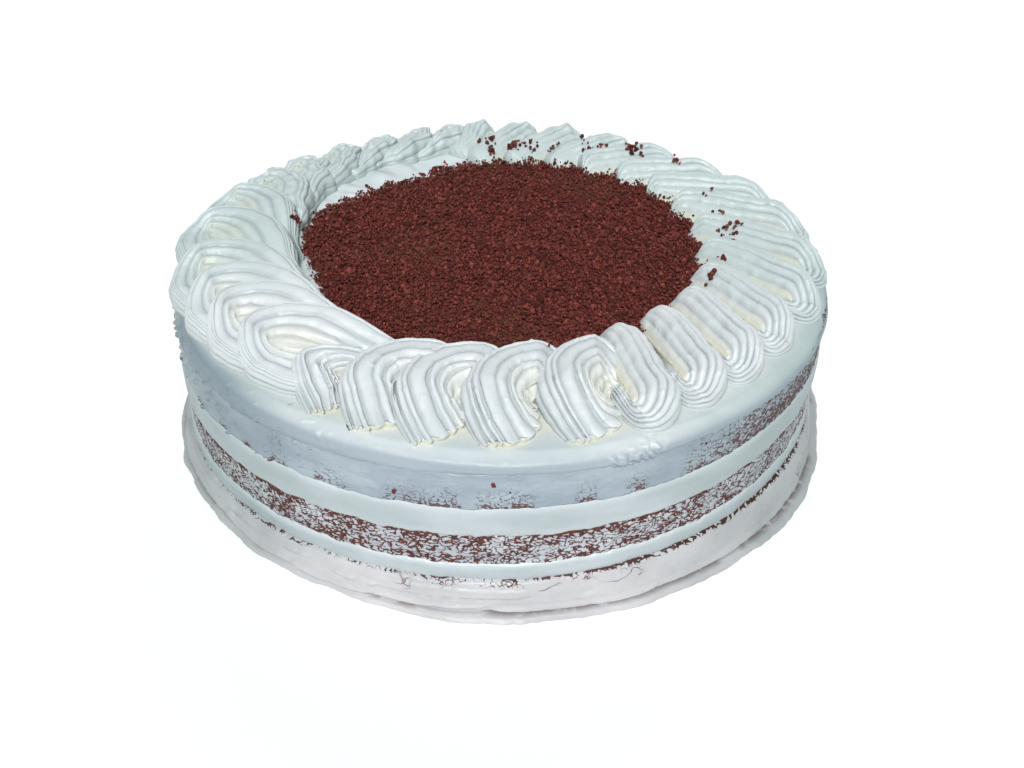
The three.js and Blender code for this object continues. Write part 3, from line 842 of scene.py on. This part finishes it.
# Rows of a section: for each row the share of the way in, where it lies across its ridge
# (0 to 1), and that ridge's width, depth and softness. Rows crowd at the grooves.
def ridgeRows(ridges):
    edges = np.concatenate([[0], np.cumsum(ridges[:, 0])]) / ridges[:, 0].sum()
    steps = (1 - np.cos(np.pi * np.arange(swirl["rowsEach"]) / swirl["rowsEach"])) / 2
    share = (edges[:-1, None] + np.diff(edges)[:, None] * steps).ravel()
    across = np.tile(steps, len(ridges))
    facts = np.repeat(ridges, swirl["rowsEach"], 0)
    return np.append(share, 1.0), np.append(across, 1.0), np.concatenate([facts, facts[-1:]])


# Heights above the sunk foot, scaled by a share.
def scaled(columns, lift):
    columns = columns.copy()
    columns[..., 2] = (columns[..., 2] + swirl["sink"]) * lift - swirl["sink"]
    return columns


# The form of one swirl, over shares u round its outline and q from its foot to its hollow.
# A column runs from the outline over a flank (part of an ellipse from below its widest
# line up to the crest) and down a dish to the hollow line, where every ridge is the
# outline drawn in towards that line. Ridges are sunk between grooves.
class SwirlForm:
    def __init__(self, row, isMirrored, seed, rng):
        azimuth, styleName, self.width, self.inner, self.outer, self.lean, self.height, *self.swing = row
        self.style = swirlStyles[styleName]
        self.seed = seed
        angle = np.radians(azimuth)
        self.outDirection = np.array([np.cos(angle), np.sin(angle)])
        self.acrossDirection = (-1 if isMirrored else 1) * np.array([-np.sin(angle), np.cos(angle)])
        outline = np.array(self.style["outline"], float)
        self.styleInner = outline[:, 1].min()
        self.styleOuter = self.style.get("tornOuter", outline[:, 1].max())
        self.corners = self.place(outline)
        self.hollowStart, hollowEnd = self.place(np.array(self.style["hollow"], float))
        self.axis = hollowEnd - self.hollowStart
        self.middle = self.hollowStart + self.axis * swirl["middleShare"]
        edge = closedCurve(self.corners, np.linspace(0, 1, 200))
        self.longest = np.linalg.norm(edge - self.middle, axis=-1).max()
        self.ridges = np.array(self.style["ridges"])
        self.ridges[:, 0] *= rng.uniform(0.85, 1.18, len(self.ridges))
        self.share, self.acrossRidge, self.facts = ridgeRows(self.ridges)
        self.rows = self.share[:, None]

    # A style's [across, out] points where this swirl lies on the cake.
    def place(self, local):
        share = (local[..., 1:] - self.styleInner) / (self.styleOuter - self.styleInner)
        reach = self.inner + (self.outer - self.inner) * share
        sideways = local[..., :1] * self.width + self.lean * (1 - share)
        if self.swing:
            sideways = sideways + 4 * self.swing[0] * np.maximum(share - 0.5, 0) ** 2
        return reach * self.outDirection + sideways * self.acrossDirection

    # Width of the flank: the bold side's, drawn towards that of the side it faces.
    def flankWidth(self, outwards, opens):
        bold, outwardFlank, inwardFlank, openFlank = self.style["flank"]
        flank = bold + (outwardFlank - bold) * clip01(outwards) ** 2
        flank = flank + (inwardFlank - bold) * clip01(-outwards) ** 2
        return flank + (openFlank - flank) * opens ** 2

    # Height of the crest: less at the tail, the tip, the outer end and the open side.
    def crestHeight(self, edge, outwards, opens):
        drops = self.style["drops"]
        tailDrop, tailLength = self.style.get("tail", [0.0, 1.0])
        tip = clip01((np.linalg.norm(edge - self.middle, axis=-1) / self.longest - 0.5) / 0.5)
        fromTail = np.linalg.norm(edge - self.corners[0], axis=-1)
        kept = 1 - drops["tip"] * tip ** 2 - drops["end"] * clip01(outwards) ** 1.5
        kept = kept - drops["opening"] * opens
        return self.height * (1 - tailDrop * bell(fromTail, 0.0, tailLength)) * kept

    # Surface without ridges. The place on the hollow line is a power of a cosine of u, so
    # that nested curves stay round.
    def surface(self, u, q):
        style = self.style
        wobble = style.get("wobble", swirl["outlineWobble"])
        edge = closedCurve(self.corners, u)
        waver = np.stack([ripple(edge, 14, self.seed + 1), ripple(edge, 14, self.seed + 2)], -1)
        edge = edge + wobble * waver
        onAxis = ((1 - np.cos(2 * np.pi * (u - style["closedEnd"]))) / 2) ** style["ease"]
        onAxis = style.get("hollowReach", 0.8) * onAxis
        root = self.hollowStart + self.axis * onAxis[..., None]
        length = np.linalg.norm(edge - root, axis=-1)
        direction = (edge - root) / length[..., None]
        outwards = direction @ self.outDirection
        opens = clip01(direction @ self.acrossDirection)
        flank = np.minimum(self.flankWidth(outwards, opens), 0.6 * length)
        top = self.crestHeight(edge, outwards, opens)
        curl = np.radians(swirl["curl"])
        bend = -curl + (np.pi / 2 + curl) * np.minimum(q / style["flankShare"], 1)
        inside = clip01((q - style["flankShare"]) / (1 - style["flankShare"]))
        reach = length - flank * (1 - np.cos(bend)) - (length - flank) * inside
        climb = (np.sin(bend) + np.sin(curl)) / (1 + np.sin(curl))
        floorStart, floorEnd = style["floor"]
        floor = self.height * (floorStart + (floorEnd - floorStart) * onAxis)
        rise = (top + swirl["sink"]) * climb - swirl["sink"] - (top - floor) * inside ** style["bend"]
        centre, spread, depth = style["dip"]
        rise = rise - depth * bell(q, centre, spread)
        return raised(root + direction * reach[..., None], rise)

    # Where each row of a torn swirl ends: at the last of its points inside a circle whose
    # radius has a tooth for each ridge. A row that never enters it ends like its neighbour.
    def tornEnds(self, rng):
        style = self.style
        tornCentre = self.place(np.array(style["torn"][:2], float))
        ridgeIndex = np.minimum(np.arange(len(self.share)) // swirl["rowsEach"], len(self.ridges) - 1)
        ragged = rng.uniform(-0.9, 0.9, len(self.ridges))[ridgeIndex]
        tooth = swirl["toothDepth"] * (np.sin(np.pi * self.acrossRidge) ** 0.8 - 0.6)
        ragged = ragged + 0.5 * rng.uniform(-1, 1, len(self.share))
        cutRadius = style["torn"][2] + (tooth + ragged) * smoothStep(self.share, 0.02, 0.22)
        fine = np.linspace(0.36, style["open"][1], 240)
        flat = self.surface(fine[None, :], self.rows)[..., :2]
        isIn = np.linalg.norm(flat - tornCentre, axis=-1) <= cutRadius[:, None]
        last = len(fine) - 1 - isIn[:, ::-1].argmax(1)
        start = max(isIn.any(1).argmax(), np.searchsorted(self.share, swirl["tornFrom"]))
        known = np.maximum.accumulate(np.where(isIn.any(1), np.arange(len(self.share)), start))
        ends = fine[last[np.maximum(known, start)]]
        return np.convolve(np.pad(ends, 1, "edge"), [0.2, 0.6, 0.2], "valid")

    # Shares u of each row's points. They crowd at the ends of an open swirl.
    def shares(self, rng):
        style = self.style
        if style["torn"]:
            count = swirl["columns"] - len(swirl["tornWall"]) - len(swirl["hiddenWall"])
            along = np.linspace(0, 1, count) ** 0.8
            return style["open"][0] + (self.tornEnds(rng)[:, None] - style["open"][0]) * along
        if style["open"]:
            even = np.linspace(0, 1, swirl["columns"])
            along = 0.5 * (1 - np.cos(np.pi * even)) / 2 + 0.5 * even
            return style["open"][0] + (style["open"][1] - style["open"][0]) * along + 0 * self.rows
        return np.linspace(0, 1, swirl["columns"], endpoint=False) + 0 * self.rows

    # The ends of an open swirl brought down to the icing, and a torn one's closed by short
    # walls. Also the share of the ridges that is left near the ends.
    def closeEnds(self, grid, u):
        fade = np.ones(grid.shape[:2])
        steps = np.linalg.norm(np.diff(grid[..., :2], axis=1), axis=-1)
        fromStart = np.concatenate([np.zeros((len(grid), 1)), np.cumsum(steps, 1)], 1)
        toEnd = fromStart[:, -1:] - fromStart
        if self.style["torn"]:
            near = 1 - clip01(toEnd / swirl["tornRound"])
            lift = (1 - swirl["tornFall"] * near ** 1.3) * (0.35 + 0.65 * smoothStep(u, -0.10, 0.06))
            grid = scaled(grid, lift)
            last = grid[:, -1:]
            away = (last - grid[:, -4:-3]) * np.array([1, 1, 0])
            away = away / np.maximum(np.linalg.norm(away, axis=-1, keepdims=True), 1e-6)
            wall = [scaled(last + away * shift, share) for shift, share in swirl["tornWall"]]
            hidden = [scaled(grid[:, :1], share) for share in swirl["hiddenWall"]]
            grid = np.concatenate([*hidden, grid, *wall], 1)
            fade = np.ones(grid.shape[:2])
            fade[:, 1 - len(wall):] = 0.2
            fade[:, :len(hidden)] = 0.2
        elif self.style["open"]:
            start = 1 - clip01(fromStart / self.style["startRound"])
            end = 1 - clip01(toEnd / self.style["endRound"])
            grid = scaled(grid, np.sqrt(1 - start ** 2) * (1 - end ** 1.6))
            fade = smoothStep(fromStart, 0.0, 5.0) * smoothStep(toEnd, 0.0, 4.0)
        return grid, fade

    # How full each row's ridge is, 0 in a groove to 1 on a crest, between a round arch and
    # a wave, and its depth: less where rows crowd, and none at the foot.
    def grooves(self, grid):
        ridgeWidth, depthShare, soft = self.facts.T[:, :, None]
        across = self.acrossRidge[:, None]
        roundArch = np.maximum(1 - np.abs(2 * across - 1) ** 1.9, 0) ** 0.7
        wave = (1 - np.cos(2 * np.pi * across)) / 2
        arch = roundArch * (1 - soft) + wave * soft
        depth = np.minimum(swirl["grooveDepth"], swirl["grooveShare"] * ridgeWidth) * depthShare
        rowLength = np.linalg.norm(np.gradient(grid, axis=0), axis=-1) / np.gradient(self.share)[:, None]
        depth = depth * np.clip(1.3 * rowLength / self.ridges[:, 0].sum(), swirl["leastGroove"], 1.0)
        depth = depth * smoothStep(self.rows, -0.02, 0.06) * smoothStep(grid[..., 2], -0.3, 1.8)
        return arch, depth, soft

    # Less of the ridges at the hollow line, at the inner end and round the tail.
    def ridgeFade(self, grid, fade):
        fade = fade * (1 - smoothStep(self.rows, 0.95, 1.0))
        reach = np.linalg.norm(grid[..., :2], axis=-1)
        calm = self.style.get("calm", 0.0) * (1 - smoothStep(reach, self.inner + 10, self.outer - 14))
        fade = fade * (1 - calm)
        fromTail = np.linalg.norm(grid[..., :2] - self.corners[0], axis=-1)
        return fade * (1 - self.style.get("tailFade", 0.0) * bell(fromTail, 0.0, swirl["tailLength"]))


# One swirl: its form with ridges, unevenness and small bubbles pushed along the normals,
# and how much painted shade each point takes: grey in the grooves and low on the flanks, warm
# in the hollows and on torn ends, and a tint where it turns from the front.
def swirlPiece(node, row, isMirrored, seed):
    rng = np.random.default_rng(seed)
    form = SwirlForm(row, isMirrored, seed, rng)
    style = form.style
    rows = form.rows
    iced = cake["icedHeight"]
    u = form.shares(rng)
    grid, fade = form.closeEnds(form.surface(u, rows + 0 * u), u)
    if isMirrored:
        grid, fade = grid[:, ::-1], fade[:, ::-1]
    arch, depth, soft = form.grooves(grid)
    fade = form.ridgeFade(grid, fade)
    world = grid + np.array([0, 0, iced])
    worn = 0.75 + 0.25 * ripple(world, 12, seed + 5)
    push = (arch - 0.9) * depth * worn * fade
    push = push + 0.13 * ripple(world, 6, seed + 3) + 0.05 * ripple(world, 1.8, seed + 4)
    push = push + style.get("rough", 0.0) * ripple(world, 7, seed + 6)
    push = push * (1 - smoothStep(rows, 0.96, 1.0))
    for _ in range(style["lumps"]):
        spot = world[rng.integers(len(rows) // 3, len(rows) - 2), rng.integers(8, grid.shape[1] - 8)]
        size = rng.uniform(0.35, 0.8)
        lump = np.exp(-((world - spot) ** 2).sum(-1) / (2 * size ** 2))
        push = push + rng.uniform(0.2, 0.6) * lump * fade
    world = world + gridNormals(grid) * push[..., None]
    if "peak" in style:
        peakAcross, peakOut, peakHeight, peakSize = style["peak"]
        spot = form.place(np.array([peakAcross + rng.uniform(-2, 2), peakOut]))
        near = bell(np.linalg.norm(world[..., :2] - spot, axis=-1), 0.0, peakSize, 1.4)
        world[..., 2] += peakHeight * near * smoothStep(world[..., 2], iced, iced + 4)
    world[0, :, 2] = iced - swirl["sink"]
    underHeight = iced - swirl["sink"] - 0.3
    under = world[:1] * np.array([1, 1, 0]) + np.array([0, 0, underHeight])
    world = np.concatenate([under, world])
    highPole = [*world[-1, :, :2].mean(0), float(world[-1, :, 2].mean())]
    # Painted shade: grey in the grooves, and low on the flanks where swirls meet.
    grooveShade = (1 - arch) * np.minimum(depth / 0.9, 1.0) * fade * (1 - 0.3 * soft)
    low = 1 - smoothStep(grid[..., 2], 1.0, 0.6 * form.height)
    grooveShade = np.maximum(grooveShade, 0.25 + swirl["creaseShade"] * low * (rows < style["flankShare"]))
    # Painted warm shade in the hollows and on the walls of a torn end.
    warmShadeAmount = style["warmShade"] * smoothStep(rows, style.get("warmShadeFrom", 0.66), 1.0) + 0 * grid[..., 0]
    if style["torn"]:
        warmShadeAmount[:, 1 - len(swirl["tornWall"]):] = 0.9
    values = {
        # painted shade as the swirl turns from the front
        "turnShade": turnedAway(world.reshape(-1, 3), 34.0, 300.0).reshape(world.shape[:2]),
        "grooveShade": np.concatenate([grooveShade[:1], grooveShade]),
        "warmShadeAmount": np.concatenate([warmShadeAmount[:1], warmShadeAmount]),
    }
    piece = gridPiece(node + "_cream", world, [*form.middle, underHeight], highPole, piped, values)
    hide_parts(node)
    return world.reshape(-1, 3)


swirlClouds = []
for index, row in enumerate(leftRun):
    swirlClouds.append(swirlPiece(f"swirl_{index + 1:02d}", row, False, 100 + 10 * index))
for index, row in enumerate(reversed(rightRun)):
    number = len(leftRun) + index + 1
    swirlClouds.append(swirlPiece(f"swirl_{number:02d}", row, True, 700 + 10 * index))
print("swirls made:", len(swirlClouds))


cell = 0.8  # size in mm of the cells of a raster over the cake
cells = 340


def cellOf(flat):
    index = np.clip((flat / cell + cells / 2).astype(int), 0, cells - 1)
    return index[..., 0], index[..., 1]


# Highest cream over each cell, from the swirls' points.
rasterHeight = np.full((cells, cells), cake["icedHeight"])
cloud = np.concatenate(swirlClouds)
np.maximum.at(rasterHeight, cellOf(cloud[:, :2]), cloud[:, 2])


# How near the piped cream is, 0 to 1: its share of 9 x 9 cells, averaged twice. It places
# the painted warm shade on the icing beside the swirls.
beside = (rasterHeight > cake["icedHeight"] + 1.0).astype(float)
for side in (0, 1, 0, 1):
    beside = sum(np.roll(beside, shift, side) for shift in range(-4, 5)) / 9


def creamBeside(flat):
    return smoothStep(beside[cellOf(flat)], 0.25, 0.8)


# ---- the icing on top

icing = {
    "sideRows": 10,
    "rimRows": 16,
    "flatRings": 44,
    "rim": 6.0,  # how far in the rounded rim reaches, and how far down
    "rimDrop": 2.9,
    "proud": 0.15,  # how far the rim stands out of the cake's radius
    "ridge": (0.25, 117.0, 1.4),  # height, radius and width of a faint ridge inside the rim
    # a rough torn smear on the rim: azimuth and half span in degrees, height, half height
    "smear": (291, 4.6, 57.2, 3.0),
    "smearOut": 1.3,
    "smearUp": 0.8,
}


# The cap: lower lip, a side up to the rounded rim (a quarter ellipse), then a nearly flat
# top that rises and falls a little, with a faint ridge just inside the rim. It has folds
# inside the swirls at the back, and its rim slumps in at the left.
def icingCap():
    iced = cake["icedHeight"]
    lipHeight = lineIcing - 0.5
    rimStart = iced - icing["rimDrop"]
    sideRows = np.linspace(0, 1, icing["sideRows"])[:-1, None]
    sideHeight = lipHeight + (rimStart - lipHeight) * sideRows
    sideRadius = cake["radius"] - 0.75 + 0.9 * smoothStep(sideRows, 0.0, 0.6) + 0 * sideHeight
    bend = np.linspace(0, 1, icing["rimRows"])[:, None] * np.pi / 2
    outermost = cake["radius"] + icing["proud"]
    rimRadius = outermost - icing["rim"] * (1 - np.cos(bend)) + 0 * azimuths
    rimHeight = rimStart + icing["rimDrop"] * np.sin(bend) + 0 * azimuths
    flat = np.linspace(1, 0.04, icing["flatRings"])[1:, None]
    flatRadius = (outermost - icing["rim"]) * flat + 0 * azimuths
    flatHeight = iced + 0 * flatRadius
    radius = np.concatenate([sideRadius, rimRadius, flatRadius])
    height = np.concatenate([sideHeight, rimHeight, flatHeight])
    share = smoothStep(height, iced - 4.5, iced)  # 0 on the side, 1 on the top
    points = sidePoints(radius, height)
    uneven = 0.35 * ripple(points, 38, 51) + 0.14 * ripple(points * np.array([1, 1, 2]), 9, 52)
    ridgeHeight, ridgeRadius, ridgeWidth = icing["ridge"]
    ridge = ridgeHeight * bell(radius - ridgeRadius - 0.6 * ripple(ring, 30, 53), 0.0, ridgeWidth)
    folds = stretch(88, 158, 20) * smoothStep(radius, 70, 80) * (1 - smoothStep(radius, 96, 104))
    folds = folds * (1.2 + 1.7 * np.abs(ripple(points * np.array([1, 1, 0]), 14, 56)))
    height = height + share * (uneven * 0.6 + ridge + folds) - 0.15
    radius = radius + (1 - share) * (0.18 * ripple(points * np.array([0.4, 0.4, 1.6]), 9, 54))
    radius = radius + creamBeads(points) * smoothStep(radius, 110, 116)
    slump = stretch(152, 220, 30) * smoothStep(height, 52, 60.5) * smoothStep(radius, 90, 116)
    radius = radius - 2.6 * slump
    smearAzimuth, smearSpan, smearHeight, smearTall = icing["smear"]
    smearAway = ((np.degrees(azimuths) - smearAzimuth + 180) % 360 - 180) / smearSpan
    smearOver = height - smearHeight - 1.6 * smearAway
    smearWindow = bell(smearAway, 0.0, 1.0, 4) * bell(smearOver, 0.0, smearTall, 4)
    torn = smearWindow * (0.2 + 0.9 * smoothStep(ripple(points, 2.6, 55), -0.3, 0.4))
    radius = radius + icing["smearOut"] * torn
    height = height + icing["smearUp"] * torn * share
    # Painted warm shade beside the swirls. Below the rim the colour goes over to the scraped
    # side's: partly the side's own colour, and over the rounded rim painted shade, more at the
    # left and back.
    warmShadeAmount = 0.7 * creamBeside(points[..., :2]) * (1 - 0.7 * back)
    below = smoothStep(-height, 0.2 - iced, 2.6 - iced)
    onRim = 0.5 * left * smoothStep(radius, 114, 119.5) * (1 - below)
    veilAndPaintedShade = below * (0.82 + 0.17 * left + 0.08 * back) + onRim
    # Painted shade as the rim and side turn from the front, fading out over the top.
    turnShade = turnedAway(around) * (1 - 0.85 * smoothStep(-radius, -119, -112))
    values = {"veilAndPaintedShade": veilAndPaintedShade, "warmShadeAmount": warmShadeAmount, "turnShade": turnShade}
    piece = layerPiece("icingCap", radius, height, smooth, values)
    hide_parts("icing_cap")


icingCap()
print("icing made")


# ---- the crumbs

crumbs = {
    # azimuth in degrees and radius of the bed's edge
    "edge": [(9, 86), (29, 90), (39, 95), (53, 96), (62, 90), (86, 87), (98, 83), (106, 80),
             (115, 76), (129, 74), (145, 76), (161, 81), (176, 77), (190, 70), (207, 71), (221, 72),
             (233, 73), (253, 73), (275, 73), (300, 76), (334, 79), (350, 80), (358, 82)],
    "rings": 150,
    "columns": 420,
    "edgeHeight": 0.6,
    "middleHeight": 6.2,
    "relief": 0.8,
    # grains on the bed: count, smallest and largest size, how far they spill past its edge
    # and how high they lie, as a share of their size
    "kinds": {
        "crumbsLarge": (1300, 1.4, 2.3, -0.5, 0.15),
        "crumbsMedium": (9700, 0.85, 1.5, 0.8, 0.3),
        "crumbsSmall": (19000, 0.6, 1.0, 1.4, 0.55),
        "crumbsFine": (19000, 0.5, 0.9, 1.8, 0.7),
    },
    "coarse": 1.0,  # kinds that grow larger than this have more faces
    "loose": 330,
    "looseSizes": (0.7, 2.0),
    "looseGroups": 50,
    "groupSpread": 1.25,
    "groupAzimuth": (92, 48),  # degrees, the middle and the spread
    "groupReach": 3.2,  # how far from the bed
    # azimuth in degrees, height and size of crumbs pressed on the scraped side
    "pressed": [(270.2, 51.4, 1.7), (255.8, 44.6, 1.5), (272.6, 48.6, 0.8), (303, 54.0, 0.9)],
}


# Edge of the crumb bed at an azimuth: through the radii in the list, with rags.
def crumbEdge(azimuth):
    circle = polar(80.0, azimuth)
    places, radii = np.array(crumbs["edge"]).T
    smoothEdge = np.interp(np.degrees(azimuth) % 360, places, radii, period=360)
    ragged = smoothEdge + 1.3 * ripple(circle, 14, 81) + 1.2 * ripple(circle, 5, 82)
    return ragged + 0.5 * ripple(circle, 2, 83)


# Height of the bed over the icing: a low dome whose edge falls away.
def crumbHeight(share):
    return crumbs["edgeHeight"] + (crumbs["middleHeight"] - crumbs["edgeHeight"]) * (1 - share ** 4.5)


# Clumps on the bed: two ripples.
def crumbClumps(flat):
    return crumbs["relief"] * (ripple(flat, 7, 91, 40) + 0.8 * ripple(flat, 3.2, 92, 40))


# The bed's top in rings of even area, from its edge to the middle, with a low rim under it.
def crumbBed():
    azimuth = np.linspace(0, 2 * np.pi, crumbs["columns"], endpoint=False)
    share = np.sqrt(np.linspace(1, 0.0004, crumbs["rings"]))[:, None]
    flat = polar(share * crumbEdge(azimuth), azimuth)
    height = crumbHeight(share) + crumbClumps(flat) * smoothStep(-share, -1.0, -0.93)
    height = height + 0.3 * ripple(flat, 1.6, 84, 40) - 0.3
    grid = raised(flat, cake["icedHeight"] + height)
    rimHeight = cake["icedHeight"] - 0.6
    rimLow = grid[:1].copy()
    rimLow[..., 2] = rimHeight
    grid = np.concatenate([rimLow, grid])
    highPole = [0, 0, grid[-1, :, 2].mean()]
    piece = gridPiece("crumbBed", grid, [0, 0, rimHeight], highPole, crumbBedLook)
    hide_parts("crumb_bed")


crumbBed()

# Corners of an icosahedron, the start of the coarse grains.
golden = (1 + 5 ** 0.5) / 2
grainCorners = np.array([(a, b, 0) for a in (-1, 1) for b in (-golden, golden)], float)
grainCorners = np.concatenate([grainCorners, np.roll(grainCorners, 1, 1), np.roll(grainCorners, 2, 1)])
grainCorners /= np.linalg.norm(grainCorners[0])


# Every three corners whose sides are all short, turned so that they point outwards.
def hullFaces(corners, longestSide):
    trios = np.array(list(combinations(range(len(corners)), 3)))
    side = np.linalg.norm(corners[trios] - corners[np.roll(trios, 1, 1)], axis=-1)
    trios = trios[(side < longestSide).all(1)]
    a, b, c = corners[trios].transpose(1, 0, 2)
    isOutward = (np.cross(b - a, c - a) * a).sum(1) > 0
    return np.where(isOutward[:, None], trios, trios[:, [0, 2, 1]])


coarseGrain = grainCorners, hullFaces(grainCorners, 1.1)
# The finest grains start from an octahedron.
fineCorners = np.array([(1, 0, 0), (0, 1, 0), (-1, 0, 0), (0, -1, 0), (0, 0, 1), (0, 0, -1)], float)
fineGrain = fineCorners, hullFaces(fineCorners, 1.5)


# Joined grains: each is the starting body turned at random (a unit quaternion), with its
# corners pushed in or out, flattened a little and moved to its centre.
def grainPiece(name, centres, sizes, seed, body=coarseGrain):
    rng = np.random.default_rng(seed)
    corners, faces = body
    count = len(centres)
    sides = len(corners)
    turns = rng.normal(size=(4, count)) + 1e-9
    w, x, y, z = turns / np.linalg.norm(turns, axis=0)
    turn = np.stack([
        1 - 2 * (y * y + z * z), 2 * (x * y - z * w), 2 * (x * z + y * w),
        2 * (x * y + z * w), 1 - 2 * (x * x + z * z), 2 * (y * z - x * w),
        2 * (x * z - y * w), 2 * (y * z + x * w), 1 - 2 * (x * x + y * y),
    ], -1).reshape(count, 3, 3)
    bumpy = corners * rng.uniform(0.62, 1.25, (count, sides, 1)) * rng.uniform(0.75, 1.2, (count, 1, 3))
    points = np.einsum("nij,nkj->nki", turn, bumpy) * sizes[:, None, None] / 2 + centres[:, None]
    faces = faces + sides * np.arange(count)[:, None, None]
    values = {"shade": np.repeat(rng.uniform(0, 1, count), sides)}
    noQuads = np.zeros((0, 4), int)
    piece = meshPiece(name, points.reshape(-1, 3), noQuads, faces.reshape(-1, 3), crumbLook, values)
    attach(piece, "root")


# Grains over the bed: even over its area, in clumps, each on the bed's or the cream's top.
def bedGrains(name, count, small, large, spill, lift, seed, body):
    rng = np.random.default_rng(seed)
    azimuth = rng.uniform(0, 2 * np.pi, count)
    share = np.sqrt(rng.uniform(0, 1, count))
    flat = polar(share * (crumbEdge(azimuth) + spill), azimuth)
    flat = flat + rng.normal(size=(count, 2)) * 0.5
    sizes = rng.uniform(small, large, count)
    bed = cake["icedHeight"] + np.where(share > 0.985, 0.2, crumbHeight(share))
    bed = bed + crumbClumps(flat)
    cream = rasterHeight[cellOf(flat)]
    # At the back the crumbs are heaped against the cream and lie on it in places.
    heaped = smoothStep(ripple(flat, 8, 93), 0.1, 0.7) * smoothStep(np.sin(azimuth), 0.1, 0.6)
    heaped = heaped * clip01(1.2 - (cream - bed - 1) / 1.6)
    bed = bed + 1.8 * heaped * bell(share, 0.96, 0.06)
    keep = (cream < bed + 1.0) | (rng.uniform(0, 1, count) < heaped)
    height = np.maximum(bed, cream) + sizes * lift + rng.uniform(-0.3, 0.6, count)
    grainPiece(name, raised(flat, height)[keep], sizes[keep], seed + 1, body)


for index, (name, kind) in enumerate(crumbs["kinds"].items()):
    body = coarseGrain if kind[2] > crumbs["coarse"] else fineGrain
    bedGrains(name, *kind, 201 + 2 * index, body)


# Loose crumbs in small groups on the cream round the bed, mostly at the back, and the few
# pressed on the side.
def looseCrumbs():
    rng = np.random.default_rng(301)
    count, groups = crumbs["loose"], crumbs["looseGroups"]
    azimuth = np.radians(rng.normal(*crumbs["groupAzimuth"], groups))
    reach = crumbEdge(azimuth) + np.abs(rng.normal(0, crumbs["groupReach"], groups)) - 0.5
    member = rng.integers(0, groups, count)
    flat = polar(reach, azimuth)[member] + rng.normal(size=(count, 2)) * crumbs["groupSpread"]
    sizes = rng.uniform(*crumbs["looseSizes"], count)
    height = rasterHeight[cellOf(flat)] + sizes * rng.uniform(0.2, 1.2, count)
    degrees, pressedHeight, pressedSizes = np.array(crumbs["pressed"]).T
    pressed = raised(polar(spongeSide["radius"] + 0.1, np.radians(degrees)), pressedHeight)
    centres = np.concatenate([raised(flat, height), pressed])
    grainPiece("crumbsLoose", centres, np.concatenate([sizes, pressedSizes]), 302)


looseCrumbs()
print("crumbs made")


# ---- floor, light and camera

stage = {
    "focalPixels": 1100.0,  # focal length, in pixels of an image this wide
    "imageWidth": 1024.0,
    "sensor": 36.0,
    "camera": (5.2, -370.3, 267.2),  # where it stands, in mm
    "tilt": 35.66,  # degrees the camera looks down
    "roll": 1.62,
    "clip": (0.01, 200.0),  # nearest and farthest that the camera sees, in metres
    "room": 0.27,  # strength of the light from all round
    "roomColour": (0.93, 0.97, 1.0, 1.0),
    "sun": (3.33, 16.0, (-0.03, -0.68, 0.73)),  # strength, angle across and where it stands
    "fill": (0.8, 60.0, (0.1, 0.96, 0.24)),
    "sunColour": (1.0, 0.995, 0.985),
    "floorHalf": 40000.0,  # half the floor's width in mm
    "floorSquares": 32,
    "floorColours": ((0.93, 0.935, 0.94), (0.955, 0.955, 0.96)),
}


# A flat grid of squares just under the cake.
def paleFloor():
    look = Look("paleFloor")
    colour = look.blend(look.noise(2.5, 3), *stage["floorColours"])
    material = look.finish({"Roughness": 0.9}, {"Base Color": colour})
    corners = stage["floorSquares"] + 1
    side = np.linspace(-stage["floorHalf"], stage["floorHalf"], corners)
    x, y = np.meshgrid(side, side)
    points = np.stack([x, y, 0 * x - 0.05], -1).reshape(-1, 3)
    index = np.arange(corners * corners).reshape(corners, corners)
    quads = np.stack([index[:-1, :-1], index[:-1, 1:], index[1:, 1:], index[1:, :-1]], -1).reshape(-1, 4)
    piece = meshPiece("floor", points, quads, np.zeros((0, 3), int), material)
    piece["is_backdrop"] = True


# A wide soft sun that shines from a place on the middle.
def softSun(name, energy, angle, place):
    light = bpy.data.lights.new(name, "SUN")
    light.energy = energy
    light.angle = np.radians(angle)
    light.color = stage["sunColour"]
    lamp = bpy.data.objects.new(name, light)
    bpy.context.scene.collection.objects.link(lamp)
    lamp.location = place
    lamp.rotation_euler = (-lamp.location).to_track_quat("-Z", "Y").to_euler()


# The camera looks down by its tilt and is turned by its roll about the way it looks.
def camera():
    tilt = np.radians(stage["tilt"])
    roll = np.radians(stage["roll"])
    ahead = np.array([0, np.cos(tilt), -np.sin(tilt)])
    level = np.array([1.0, 0, 0])
    up = np.cross(level, ahead)
    rightRolled = level * np.cos(roll) + up * np.sin(roll)
    upRolled = up * np.cos(roll) - level * np.sin(roll)
    data = bpy.data.cameras.new("camera")
    data.sensor_width = stage["sensor"]
    data.lens = stage["sensor"] * stage["focalPixels"] / stage["imageWidth"]
    data.clip_start, data.clip_end = stage["clip"]
    piece = bpy.data.objects.new("camera", data)
    bpy.context.scene.collection.objects.link(piece)
    turn = Matrix([[rightRolled[i], upRolled[i], -ahead[i]] for i in range(3)]).to_4x4()
    piece.matrix_world = Matrix.Translation(np.array(stage["camera"]) * metresPerMm) @ turn
    bpy.context.scene.camera = piece


paleFloor()
softSun("softSun", *stage["sun"])
softSun("backFill", *stage["fill"])
room = bpy.data.worlds.new("softRoom")
room.use_nodes = True
room.node_tree.nodes["Background"].inputs["Color"].default_value = stage["roomColour"]
room.node_tree.nodes["Background"].inputs["Strength"].default_value = stage["room"]
bpy.context.scene.world = room
bpy.context.scene.view_settings.view_transform = "Standard"
camera()

for piece in list(bpy.context.scene.objects):
    if piece.type == "MESH" and body_of(piece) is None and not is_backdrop(piece):
        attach(piece, "root")
print("scene ready")
